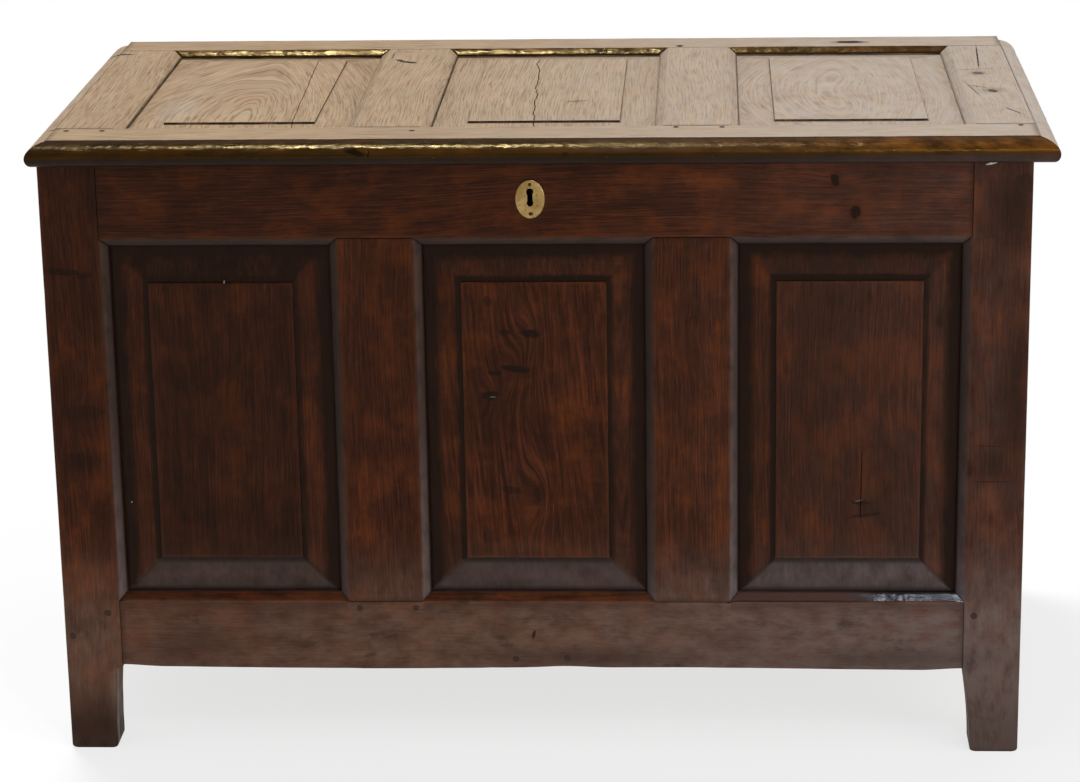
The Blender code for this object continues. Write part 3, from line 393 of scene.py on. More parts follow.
# Pale brown oak of the lid, with open pores that hold dirt: partly its own colour and partly a painted sheen,
# paler than the wood under it
LID_OAK_PAINTED_SHEEN = oak(
    "dry_lid_oak", ("#664b30", "#a78e71", "#bba486", "#ad8464"), ("#21150c", "#b59d7a", "#aca49d"),
    (0.42, 0.58, 0.25), 0.14, "#ffffff", (0.14, 0.28, 0.55, 0.15), (0.0040, 0.52, 0.70, 0.56), (0.92, 1.07),
    0.28, 0.0, 0.5, LID_SCARS)
# Polished oak of the lid's edge and back chamfers: dark brown, with golden lights
EDGE_OAK = oak(
    "polished_edge_oak", ("#140a05", "#2d1c0b", "#472c12", "#522a0a"), ("#0e0907", "#7a4718", "#3d2a20"),
    (0.10, 0.32, 0.0), 0.17, "#ffda62", (0.5, 0.5, 0.20, 0.08), (0.0065, 0.3, 0.55, 0.64), (0.7, 1.3),
    0.35, 0.55, 4.5, EDGE_SCARS)
# Oak that was never polished, on the back and inside
RAW_OAK = oak(
    "unpolished_oak", ("#54402d", "#7b6147", "#957b5c", "#8a6a48"), ("#2c2117", "#a08763", "#8c8172"),
    (0.62, 0.82, 0.0), 0.25, "#ffffff", (0.5, 0.5, 0.6, 0.3), (0.0065, 0.5, 0.55, 0.58), (0.7, 1.2))
print("oak finishes", [m.name for m in (FRONT_OAK, CHAMFER_WAX, THICK_WAX, LID_OAK_PAINTED_SHEEN, EDGE_OAK, RAW_OAK)])

# %% [markdown]
# ## Places
# The coffer is five flat frames: front, back, two ends and a lid. Each is drawn flat, with u
# across, v up and w out of the show face, and a small record turns those into places in the
# room. The sizes are those of the CAD model, in metres.

# %% Sizes and the five show faces
WIDTH, DEPTH, HEIGHT = 1.100, 0.555, 0.705
CLEARANCE = 0.101
STILE_FACE, STILE_DEPTH = 0.065, 0.044
TOP_RAIL, BOTTOM_RAIL = 0.0915, 0.082
FRONT_MUNTIN, END_MUNTIN = 0.085, 0.080
FRAME_THICKNESS = 0.027
CHAMFER_WIDTH, CHAMFER_DEPTH = 0.010, 0.007
FIELD_STEP = 0.0025
GAP = 0.0004
FRONT_Y, BACK_Y, CARCASS_X = -0.273, 0.282, -0.009
LID_THICKNESS, LID_TOP = 0.0215, 0.7268
LID_FRONT_Y, LID_DEPTH, LID_INSET = -0.273, 0.567, 0.003
LID_RAIL, LID_STILE, LID_MUNTIN = 0.0585, 0.065, 0.075


class Face:
    """A flat frame: its origin and the directions of u, v and w."""

    def __init__(self, name, origin, u, v, w):
        self.name = name
        self.origin = np.array(origin)
        self.axes = np.array([u, v, w], float)

    def at(self, points):
        """Places in the room for rows of u, v and w."""
        return self.origin + np.asarray(points) @ self.axes


MID_Y = (FRONT_Y + BACK_Y) / 2
FRONT = Face("front", (CARCASS_X, FRONT_Y, 0), (1, 0, 0), (0, 0, 1), (0, -1, 0))
BACK = Face("back", (CARCASS_X, BACK_Y, 0), (-1, 0, 0), (0, 0, 1), (0, 1, 0))
LEFT = Face("left", (CARCASS_X - WIDTH / 2, MID_Y, 0), (0, -1, 0), (0, 0, 1), (-1, 0, 0))
RIGHT = Face("right", (CARCASS_X + WIDTH / 2, MID_Y, 0), (0, 1, 0), (0, 0, 1), (1, 0, 0))
LID = Face("lid", (0, LID_FRONT_Y, LID_TOP), (1, 0, 0), (0, 1, 0), (0, 0, 1))
lid_low, lid_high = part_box("lid_front_rail")
print("lid front rail in the CAD", [round(c, 4) for c in (*lid_low, *lid_high)])

# %% [markdown]
# ## Boards
# A joiner's board is a cross-section carried along its length. A cube with a bevel could stand
# for it, but here the edges are worn unevenly, the chamfers stop in mitres, and each place has
# its own dirt. So the section is worked out anew at every few millimetres and the sections are
# skinned. The same helper lays down the grain and the tone for the oak recipe.

# %% Skin sections into a mesh
def smooth(x, low, high):
    """0 below low, 1 above high and a soft ramp between."""
    t = np.clip((x - low) / (high - low), 0, 1)
    return t * t * (3 - 2 * t)


def ripple(points, scale, seed):
    """Perlin noise, about -1 to 1, for each row of three coordinates."""
    flat = np.asarray(points, float).reshape(-1, 3) * scale + seed
    values = np.array([noise.noise(Vector(p)) for p in flat])
    return values.reshape(np.shape(points)[:-1])


def seed_of(name):
    """A fixed number for a name, so that each board has its own piece of noise."""
    return sum((i + 3) * ord(c) for i, c in enumerate(name)) % 97 * 1.37


def make_piece(name, body, node, verts, faces, grain, tone, materials, kinds):
    """A mesh object with grain and tone at its vertices, riding on its body."""
    mesh = bpy.data.meshes.new(name)
    mesh.from_pydata([tuple(v) for v in verts], [], faces)
    mesh.polygons.foreach_set("material_index", kinds)
    for label, rows in (("grain", grain), ("tone", tone)):
        layer = mesh.attributes.new(label, "FLOAT_VECTOR", "POINT")
        layer.data.foreach_set("vector", np.asarray(rows, np.float32).ravel())
    bm = bmesh.new()
    bm.from_mesh(mesh)
    bmesh.ops.remove_doubles(bm, verts=bm.verts, dist=2e-6)
    bmesh.ops.recalc_face_normals(bm, faces=bm.faces)
    bm.to_mesh(mesh)
    bm.free()
    mesh.polygons.foreach_set("use_smooth", [True] * len(mesh.polygons))
    mesh.set_sharp_from_angle(angle=math.radians(38))
    for material in materials:
        mesh.materials.append(material)
    piece = bpy.data.objects.new(name, mesh)
    bpy.context.scene.collection.objects.link(piece)
    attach(piece, body)
    if node:
        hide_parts(node)
    return piece


def skin(rings, columns):
    """Quads between rings of equal length, with a cap on the first and the last."""
    faces = []
    for i in range(rings - 1):
        for j in range(columns):
            k = (j + 1) % columns
            faces.append((i * columns + j, i * columns + k, (i + 1) * columns + k, (i + 1) * columns + j))
    faces.append(tuple(range(columns)))
    faces.append(tuple((rings - 1) * columns + j for j in reversed(range(columns))))
    return faces


print("noise check", round(float(ripple(np.array([0.1, 0.2, 0.3]), 5.0, 1.0)), 4))

# %% [markdown]
# ## Age
# Old wax turns black where no cloth reaches, hands rub edges bare, and dust settles low down
# and on ledges. Part of the tone is painted light: painted shade darkens the front towards the
# left, and a painted sheen of dust colour grows towards the right of the front and of the lid.
# Marks that belong to one place, such as stains and knots, are listed here by face: u, v, half
# width, half height and strength. A knot also pushes the ring distance aside, so that the grain
# flows round it.

# %% Stains, knots and ring figure
STAINS = {
    "front": [
        (-0.488, 0.66, 0.012, 0.06, 0.9), (-0.474, 0.655, 0.012, 0.05, 0.7),
        (-0.515, 0.690, 0.04, 0.02, 0.5), (-0.515, 0.408, 0.035, 0.012, 0.75),
        (-0.518, 0.351, 0.034, 0.012, 0.75), (-0.53, 0.52, 0.02, 0.006, 0.6),
        (0.333, 0.678, 0.007, 0.011, 0.85), (0.356, 0.642, 0.008, 0.010, 0.9),
        (0.35, 0.66, 0.05, 0.03, 0.35), (0.530, 0.64, 0.03, 0.05, 0.75), (0.538, 0.44, 0.018, 0.12, 0.7),
        (0.514, 0.349, 0.026, 0.020, 0.6), (-0.27, 0.675, 0.02, 0.008, 0.5),
        (-0.06, 0.675, 0.03, 0.006, 0.45), (0.12, 0.655, 0.05, 0.02, 0.4),
        (-0.004, 0.5016, 0.012, 0.004, 0.9), (-0.022, 0.4607, 0.018, 0.0045, 1.0),
        (-0.051, 0.429, 0.011, 0.006, 0.9), (0.0035, 0.3125, 0.010, 0.014, 0.6),
        (-0.02, 0.48, 0.05, 0.03, 0.3), (0.360, 0.33, 0.010, 0.05, 0.6),
        (0.371, 0.295, 0.016, 0.010, 0.6), (-0.36, 0.56, 0.06, 0.02, 0.35),
        (-0.33, 0.36, 0.05, 0.06, 0.3), (0.30, 0.45, 0.04, 0.05, 0.25), (0.175, 0.50, 0.02, 0.04, 0.35),
        (-0.175, 0.47, 0.03, 0.015, 0.5), (-0.175, 0.30, 0.02, 0.03, 0.35),
        (0.06, 0.115, 0.12, 0.012, 0.5), (0.40, 0.115, 0.12, 0.012, 0.45), (-0.40, 0.13, 0.07, 0.02, 0.4),
        (0.22, 0.135, 0.04, 0.012, 0.35), (0.350, 0.189, 0.045, 0.006, 0.95)],
    "lid": [(0.506, 0.337, 0.010, 0.010, 0.6), (0.514, 0.239, 0.012, 0.012, 0.6)],
    "back": [], "left": [(0.1, 0.4, 0.05, 0.08, 0.35), (-0.15, 0.55, 0.06, 0.03, 0.3)],
    "right": [(-0.1, 0.35, 0.05, 0.08, 0.35), (0.15, 0.62, 0.06, 0.03, 0.3)],
}
KNOTS = {
    "front": [
        (-0.0046, 0.5016, 0.012), (-0.022, 0.4607, 0.014), (-0.051, 0.429, 0.010),
        (0.0035, 0.3125, 0.016), (0.368, 0.293, 0.012), (-0.515, 0.408, 0.014), (0.333, 0.678, 0.010),
        (-0.345, 0.42, 0.012), (0.175, 0.50, 0.010)],
    "lid": [(0.514, 0.239, 0.016), (0.506, 0.337, 0.012), (-0.345, 0.33, 0.022), (0.35, 0.26, 0.024),
            (0.115, 0.10, 0.012), (0.19, 0.20, 0.010)],
    "back": [(0.3, 0.4, 0.014), (-0.1, 0.3, 0.012)], "left": [(0.13, 0.42, 0.012)],
    "right": [(-0.13, 0.36, 0.013)],
}


def age(face, name, uvw, upright, tone, arch=None):
    """Grain and final tone for points of a board, given as u, v and w."""
    u, v, w = uvw[..., 0], uvw[..., 1], uvw[..., 2]
    along, across = (v, u) if upright else (u, v)
    seed = seed_of(name)
    slow = np.stack([along * 1.6, across * 4.0, 0 * along], -1)
    ring = across + 0.020 * ripple(slow, 1.0, seed) + 0.004 * ripple(slow, 4.0, seed + 9)
    if arch:
        middle, tip, curve = arch
        ring = 0.75 * np.sqrt((across - middle) ** 2 + 0.012 ** 2) + curve * (along - tip) ** 2 + 0.25 * ring
    for ku, kv, size in KNOTS[face.name]:
        ka, kc = (kv, ku) if upright else (ku, kv)
        away = ((along - ka) / (2.6 * size)) ** 2 + ((across - kc) / size) ** 2
        ring = ring + 0.6 * size * np.exp(-away)
    grain = np.stack([along + seed, ring + seed * 0.31, w], -1)
    stain = np.zeros_like(u)
    for su, sv, half_u, half_v, amount in STAINS[face.name]:
        spread = ((u - su) / half_u) ** 2 + ((v - sv) / half_v) ** 2
        stain = np.maximum(stain, amount * np.exp(-spread))
    tone = tone.copy()
    tone[..., 0] = np.maximum(tone[..., 0], np.where(w > -0.012, stain, 0))
    if face.name != "lid":
        to_right = smooth(u, -0.45, 0.45)
        outer_side = 0.5 * (np.abs(u) > WIDTH / 2 - 0.0025)
        shown = np.maximum(smooth(w, -0.016, -0.004), outer_side) * (1.0 if face in (FRONT, BACK) else 0.5)
        # Dust low down; the share that grows towards the right is a painted sheen
        low_dust_and_right_sheen = (0.44 + 0.32 * to_right) * smooth(-v, -0.28, -0.12) + 0.14 * smooth(u, 0.0, 0.55)
        tone[..., 2] = np.clip(tone[..., 2] + low_dust_and_right_sheen * shown, 0, 1)
        # Painted shade: the upper front darkens towards the left
        left_painted_shade = 0.42 * (1 - to_right) * smooth(v, 0.2, 0.4)
        foot_dirt = (0.78 - 0.53 * to_right) * smooth(-v, -0.10, -0.02)
        tone[..., 0] = np.maximum(tone[..., 0], np.maximum(left_painted_shade, foot_dirt))
    else:
        grey = 0.30 * np.exp(-((u + 0.428) / 0.024) ** 4 - ((v - 0.180) / 0.055) ** 4)
        # Painted sheen: the lid grows paler and greyer towards the right; grey is a grey patch on the left
        # panel
        tone[..., 2] = np.clip(tone[..., 2] + np.maximum(0.58 * smooth(u, -0.35, 0.5), grey), 0, 1)
    return grain, tone


print("stains", sum(len(v) for v in STAINS.values()), "knots", sum(len(v) for v in KNOTS.values()))

# %% [markdown]
# ## Rails and muntins
# A rail's section is a rectangle with a chamfer towards each opening. The lip that carries the
# chamfer grows from nothing over its own width at the corner of an opening, which gives the
# mitre by itself. The radius of each edge wanders, as an edge does that hands have rubbed.

# %% Frame members
# Dirt, wear and dust of a chamfer, dirt of the seam at its foot, and the slot of its finish;
# by face, by whether the member stands upright, and by the side of the member
CHAMFERS = {
    ("front", True, 1): (0.22, 0.60, 0.24, 0.70, 2), ("front", True, -1): (0.55, 0.35, 0.06, 0.75, 2),
    ("front", False, -1): (0.28, 0.35, 0.15, 0.70, 2), ("front", False, 1): (0.05, 0.35, -0.6, 0.40, 0),
    ("lid", True, 1): (0.05, 0.0, 0.0, 0.9, 0), ("lid", True, -1): (0.12, 0.0, 0.0, 0.5, 0),
    ("lid", False, -1): (0.05, 0.30, -0.9, 0.9, 2), ("lid", False, 1): (0.05, 0.0, 0.0, 0.6, 0),
}
PLAIN_CHAMFER = (0.40, 0.30, 0.10, 0.75, 2)
# A depth inside the panels' edges, from the show face
PANEL_DEPTH = 0.0128


def lip(s, openings, width):
    """How far the lip reaches at each place along a member: full inside an opening."""
    out = np.zeros_like(s)
    for low, high in openings:
        out = np.maximum(out, np.clip(np.minimum(s - low, high - s), 0, width))
    return out


def places_along(low, high, openings, step=0.0075):
    """Stations along a member, close together where a lip starts."""
    marks_at = list(np.linspace(low, high, max(3, int((high - low) / step) + 1)))
    for a, b in openings:
        for d in (0.0, 0.0033, 0.0067, 0.010):
            marks_at += [a + d, b - d]
    marks_at = sorted(m for m in marks_at if low <= m <= high)
    keep = [marks_at[0]]
    for m in marks_at[1:]:
        if m - keep[-1] > 0.0006:
            keep.append(m)
    keep[-1] = high
    return np.array(keep)


def worn_radius(s, name, base):
    """Radius of an edge along a member: soft everywhere, and knocked off here and there."""
    seed = seed_of(name)
    rows = np.stack([s, 0 * s, 0 * s], -1)
    gentle = 1 + 0.5 * ripple(rows, 14.0, seed)
    knock = np.clip(ripple(rows, 30.0, seed + 5) - 0.35, 0, 1) * 2.2
    return base * np.clip(gentle + knock, 0.5, 3.0)


def chamfer_tone(s, share, dirt, wear, dust, upright):
    """Dirt, wear and dust on a chamfer: dark at its foot (share 0), rubbed at its arris (share 1)."""
    low = smooth(-s, -0.43, -0.25) if upright else 0 * s
    return (dirt * (1.5 - share) * (1 - 0.5 * low), 1.5 * wear * share,
            dust * (0.6 + 0.6 * share) * (1 + 1.4 * low))


def member(name, body, face, across, along, thickness, upright, low_open=(), high_open=(),
           materials=None, edge=0.0011, sag=None, arch=None, crown=0.0):
    """A rail or an upright with chamfers towards the openings on its two sides.

    A chamfer with a crown is planed a little round. Behind the panels the wood is unpolished.
    """
    s = places_along(*along, [*low_open, *high_open])
    columns = []
    for side, edge_t, openings in ((-1, across[0], low_open), (1, across[1], high_open)):
        reach = lip(s, openings, CHAMFER_WIDTH)
        drop = reach * CHAMFER_DEPTH / CHAMFER_WIDTH
        r = worn_radius(s, name + str(side), edge)
        t_edge = edge_t + (sag(s) if sag and side < 0 else 0 * s)
        dirt, wear, dust, seam, kind = CHAMFERS.get((face.name, upright, side), PLAIN_CHAMFER)
        on = np.where(reach > 0, 1.0, 0.0)
        half = [(t_edge + side * reach, 0 * s - thickness, (0.3, 0, 0), 1)]
        if openings:
            half.append((t_edge + side * reach, 0 * s - PANEL_DEPTH, (0.3, 0, 0), 1))
        half += [(t_edge + side * reach, -drop - r, (seam * on, 0, 0), 0),
                 (t_edge + side * (reach - 0.3 * r), -drop - 0.3 * r, (seam * on, 0, 0), kind)]
        for share in (0.2, 0.5, 0.8):
            bulge = crown * 4 * share * (1 - share) * on
            tones = chamfer_tone(s, share, dirt, wear, dust, upright)
            half.append((t_edge + side * (reach * (1 - share) - 0.3 * r + 0.573 * bulge),
                         -drop * (1 - share) - 0.3 * r + 0.819 * bulge, [c * on for c in tones], kind))
        edge_dirt = 0.28 * on if face.name != "lid" else 0.04 * on
        half += [(t_edge - side * 0.3 * r, -0.3 * r, (0.05 * on, 0.45, 0), 0),
                 (t_edge - side * r, 0 * s, (edge_dirt, 0.40, 0), 0),
                 (t_edge - side * (r + 0.003), 0 * s, (edge_dirt, 0.10, 0), 0),
                 (t_edge - side * (r + 0.008), 0 * s, (0.4 * edge_dirt, 0, 0), 0)]
        columns.append(half)
    low_t, high_t = columns[0][-1][0], columns[1][-1][0]
    count = max(2, int((across[1] - across[0]) / 0.008))
    face_part = [(low_t + (high_t - low_t) * k / count, 0 * s, (0, 0, 0), 0) for k in range(1, count)]
    ring = columns[0] + face_part + columns[1][::-1]
    return build_board(name, body, face, s, ring, upright, materials, arch)


def build_board(name, body, face, s, ring, upright, materials, arch):
    """Turn columns of (across, depth, tone, slot of the finish) along s into a piece."""
    n, m = len(s), len(ring)
    stw = np.zeros((n, m, 3))
    tone = np.zeros((n, m, 3))
    for j, (t, w, tones, _) in enumerate(ring):
        stw[:, j, 0], stw[:, j, 1], stw[:, j, 2] = s, t, w
        for k in range(3):
            tone[:, j, k] = tones[k]
    show = smooth(stw[..., 2], -0.010, -0.001)
    ends = np.minimum(smooth(s - s[0], 0.0, 0.02), smooth(s[-1] - s, 0.0, 0.02))[:, None]
    wave = 0.00022 * ripple(stw, 16.0, seed_of(name)) + 0.00008 * ripple(stw, 70.0, seed_of(name) + 3)
    stw[..., 2] += np.minimum(wave, 0.0001) * show * ends
    joint = 0.55 * (1 - np.minimum(smooth(s - s[0], 0.0, 0.006), smooth(s[-1] - s, 0.0, 0.006)))
    tone[..., 0] = np.maximum(tone[..., 0], joint[:, None] * show)
    uvw = stw[..., [1, 0, 2]] if upright else stw
    grain, tone = age(face, name, uvw, upright, tone, arch)
    faces = skin(n, m)
    kinds = []
    for _ in range(n - 1):
        for j in range(m):
            pair = (ring[j][3], ring[(j + 1) % m][3])
            kinds.append(1 if pair == (1, 1) else (2 if 2 in pair else 0))
    kinds += [0, 0]
    return make_piece(name, body, name, face.at(uvw.reshape(-1, 3)), faces, grain.reshape(-1, 3),
                      tone.reshape(-1, 3), materials or [FRONT_OAK, RAW_OAK], kinds)


CLEAR_LOW, CLEAR_HIGH = CLEARANCE + BOTTOM_RAIL, HEIGHT - TOP_RAIL
half_in = WIDTH / 2 - STILE_FACE


def three_bays(half, muntin):
    """Three equal openings between two stiles, with muntins between them."""
    bay = (2 * half - 2 * muntin) / 3
    return [(-half + i * (bay + muntin), -half + i * (bay + muntin) + bay) for i in range(3)]


FRONT_BAYS = three_bays(half_in, FRONT_MUNTIN)


def wavy_foot_edge(s):
    """The lower edge of a bottom rail was sawn by eye: it lifts a little at its ends."""
    lift = 0.0022 * (1 - smooth(np.minimum(s + half_in, half_in - s), 0.0, 0.05))
    return lift + 0.0011 * np.sin(s * 9.0 + 0.4) + 0.0016 * np.exp(-((s - 0.03) / 0.03) ** 2)


wood = [FRONT_OAK, RAW_OAK, CHAMFER_WAX]
span = (-half_in + GAP, half_in - GAP)
keyed_rail = member("front_top_rail", "carcass", FRONT, (CLEAR_HIGH, HEIGHT), span,
                    FRAME_THICKNESS, False, FRONT_BAYS, (), wood)
bottom_rail = member("front_bottom_rail", "carcass", FRONT, (CLEARANCE, CLEAR_LOW), span,
                     FRAME_THICKNESS, False, (), FRONT_BAYS, [*wood, THICK_WAX], edge=0.0018,
                     sag=wavy_foot_edge)
# Thick wax on the right bottom chamfer: dull and brown at its left, then black and glossy
WAX_FROM, WAX_GLOSSY = 0.335, 0.405
wax_tone = bottom_rail.data.attributes["tone"].data
for polygon in bottom_rail.data.polygons:
    on_chamfer = polygon.center.z > CLEAR_LOW + 0.0006 and polygon.normal.z > 0.3
    if on_chamfer and polygon.center.x - CARCASS_X > FRONT_BAYS[2][0]:
        polygon.material_index = 3
        for v in polygon.vertices:
            dull = 1 - smooth(bottom_rail.data.vertices[v].co.x - CARCASS_X, WAX_FROM, WAX_GLOSSY)
            wax_tone[v].vector = (dull, 0.0, 0.0)
upright_span = (CLEAR_LOW + GAP, CLEAR_HIGH - GAP)
for label, i in (("left", 0), ("right", 1)):
    member(f"front_muntin_{label}", "carcass", FRONT, (FRONT_BAYS[i][1], FRONT_BAYS[i + 1][0]),
           upright_span, FRAME_THICKNESS, True, [(CLEAR_LOW, CLEAR_HIGH)], [(CLEAR_LOW, CLEAR_HIGH)], wood)

raw = [RAW_OAK, RAW_OAK, RAW_OAK]
member("back_top_rail", "carcass", BACK, (CLEAR_HIGH, HEIGHT), span, FRAME_THICKNESS, False,
       (), (), raw)
member("back_bottom_rail", "carcass", BACK, (CLEARANCE, CLEAR_LOW), span, FRAME_THICKNESS, False,
       (), (), raw, edge=0.0016)
for label, i in (("right", 0), ("left", 1)):
    member(f"back_muntin_{label}", "carcass", BACK, (FRONT_BAYS[i][1], FRONT_BAYS[i + 1][0]),
           upright_span, FRAME_THICKNESS, True, (), (), raw)

end_half = DEPTH / 2 - STILE_DEPTH
END_BAYS = [(-end_half, -END_MUNTIN / 2), (END_MUNTIN / 2, end_half)]
end_span = (-end_half + GAP, end_half - GAP)
for label, face in (("left", LEFT), ("right", RIGHT)):
    member(f"{label}_top_rail", "carcass", face, (CLEAR_HIGH, HEIGHT), end_span, FRAME_THICKNESS,
           False, END_BAYS, (), wood)
    member(f"{label}_bottom_rail", "carcass", face, (CLEARANCE, CLEAR_LOW), end_span,
           FRAME_THICKNESS, False, (), END_BAYS, wood, edge=0.0016)
    member(f"{label}_muntin", "carcass", face, (-END_MUNTIN / 2, END_MUNTIN / 2), upright_span,
           FRAME_THICKNESS, True, [(CLEAR_LOW, CLEAR_HIGH)], [(CLEAR_LOW, CLEAR_HIGH)], wood)
print("front bays", [[round(c, 4) for c in b] for b in FRONT_BAYS])

# %% [markdown]
# ## Corner stiles
# The four corner posts run down to the floor as feet. Each has two show faces, so its section
# is drawn all the way round: the front with its chamfer, the inside, and the end face with a
# chamfer of its own. Below the bottom rail the inner edge sweeps in to a narrower foot.

# %% Four corner stiles
FOOT_TAPER, FOOT_ROUND = 0.010, 0.004
# One foot lost a splinter of its inner edge: how much, and the taper that is left
LOST_EDGE = {"front_left_stile": (0.0075, 0.0035)}


def stile(name, face, hand, front_chamfer, material):
    """A corner stile of the front or the back. Hand is the sign of its u."""
    span = [(CLEAR_LOW, CLEAR_HIGH)]
    s = places_along(0.0, HEIGHT, span, 0.0065)
    under_rail = CLEARANCE - np.array([0.0, 0.002, 0.004, 0.007])
    s = np.unique(np.concatenate([s, [0.0005, 0.0012, 0.0025, FOOT_ROUND], under_rail]))
    front_lip = lip(s, span, CHAMFER_WIDTH) if front_chamfer else 0 * s
    end_lip = lip(s, span, CHAMFER_WIDTH)
    t = np.clip(1 - s / CLEARANCE, 0, 1)
    corner = FOOT_ROUND * (1 - np.sqrt(1 - np.clip(1 - s / FOOT_ROUND, 0, 1) ** 2))
    loss, taper = LOST_EDGE.get(name, (0.0, FOOT_TAPER))
    lost = loss * smooth(CLEARANCE - s, 0.0, 0.007)
    lost = lost * (1 + 0.10 * ripple(np.stack([s, 0 * s, 0 * s], -1), 40.0, 3.0))
    inner = STILE_FACE - taper * np.sin(t * math.pi / 2) - lost - corner
    foot = 0.0012 * (1 - smooth(s, 0.0, 0.003))
    r = worn_radius(s, name, 0.0013) + foot
    r2 = worn_radius(s, name + "in", 0.0011) + foot
    r3 = worn_radius(s, name + "end", 0.0011)
    drop, end_drop = front_lip * 0.7, end_lip * 0.7
    deep = STILE_DEPTH
    scuff = 0.35 * (1 - smooth(s, 0.0, 0.05))
    dust = 0.45 * (1 - smooth(s, 0.0, 0.03))
    dirt, wear, soft, seam, kind = CHAMFERS.get((face.name, True, -hand), PLAIN_CHAMFER)
    on = np.where(front_lip > 0, 1.0, 0.0)
    end_on = np.where(end_lip > 0, 1.0, 0.0)
    broken = np.where(lost > 0.001, 0.5, 0.0)
    ring = [(corner, -(r + 0.010), (0, scuff, dust), 0), (corner, -(r + 0.003), (0, 0.1 + scuff, dust), 0),
            (corner, -r, (0.1, 0.45, dust), 0), (corner + 0.3 * r, -0.3 * r, (0.05, 0.5, dust), 0),
            (corner + r, 0 * s, (0.1, 0.4, dust), 0),
            (corner + r + 0.003, 0 * s, (0.05, 0.1 + scuff, dust), 0),
            (corner + r + 0.008, 0 * s, (0, scuff, dust), 0)]
    width = inner - corner
    for k in range(1, 6):
        ring.append((corner + r + 0.008 + (width - r - r2 - 0.016) * k / 6, 0 * s, (0, scuff, dust), 0))
    ring += [(inner - r2 - 0.008, 0 * s, (0.12 * on, broken, dust), 0),
             (inner - r2 - 0.003, 0 * s, (0.28 * on, 0.1 + broken, dust + 0.6 * broken), 0),
             (inner - r2, 0 * s, (0.28 * on, 0.4, dust + broken), 0),
             (inner - 0.3 * r2, -0.3 * r2, (0.1 * on, 0.45, dust + broken), 0)]
    for share in (0.2, 0.5, 0.8):
        tones = chamfer_tone(s, 1 - share, dirt, wear, soft, True)
        ring.append((inner + front_lip * share - 0.3 * r2, -drop * share - 0.3 * r2,
                     [c * on for c in tones], kind))
    ring += [(inner + front_lip - 0.3 * r2, -drop - 0.3 * r2, (seam * on, 0, 0), kind),
             (inner + front_lip, -drop - r2, (seam * on, 0, 0), 0),
             (inner + front_lip, 0 * s - PANEL_DEPTH, (0.3, 0, 0), 1),
             (inner + front_lip, -(deep + end_lip), (0.3, 0, 0), 1),
             (corner + end_drop + r3, -(deep + end_lip), (0.4, 0, 0), 1)]
    for share in (1.0, 0.75, 0.5, 0.25, 0.0):
        ring.append((corner + end_drop * share + 0.3 * r3, -(deep + end_lip * share) + 0.3 * r3,
                     (0.5 * end_on, 0, 0.1 * end_on), 2))
    ring += [(corner, -deep + r3, (0.3 * end_on, 0.4, 0), 0),
             (corner, -deep + r3 + 0.004, (0.3 * end_on, 0.1, 0), 0),
             (corner, -deep + r3 + 0.010, (0.1 * end_on, 0, 0), 0)]
    columns = [(hand * (WIDTH / 2 - a), w, tones, k) for a, w, tones, k in ring]
    return build_board(name, "carcass", face, s, columns, True, material, None)


for label, hand in (("left", -1), ("right", 1)):
    stile(f"front_{label}_stile", FRONT, hand, True, wood)
    stile(f"back_{label}_stile", BACK, -hand, False, wood)
print("stiles stand", HEIGHT, "high, feet", round(STILE_FACE - FOOT_TAPER, 3), "wide")

# %% [markdown]
# ## Fielded panels
# A fielded panel is a board whose edges were planed down to a tongue, which leaves a raised
# field with a small step round it. It is drawn as a grid over u and v: lines crowd at the step
# and at the edge, and the height follows from the distance to the field. A crack is a groove
# in the grid, and the lines beside it wander as the split does.

# %% Panels
def crowd(low, high, field_low, field_high, slope):
    """Grid lines of a fielded panel in one direction."""
    inside = [0.0, 0.0005, 0.0014, 0.004, 0.010]
    outside = [0.0004, 0.0014, 0.004, 0.009, 0.015, 0.022, 0.029, 0.035, 0.039, slope]
    middle = np.linspace(field_low + 0.010, field_high - 0.010, max(3, int((field_high - field_low) / 0.005)))
    lines = [low, high, *middle]
    for d in inside:
        lines += [field_low + d, field_high - d]
    for d in outside:
        if d <= slope:
            lines += [field_low - d, field_high + d]
    lines = np.unique(np.round([x for x in lines if low <= x <= high], 6))
    return lines


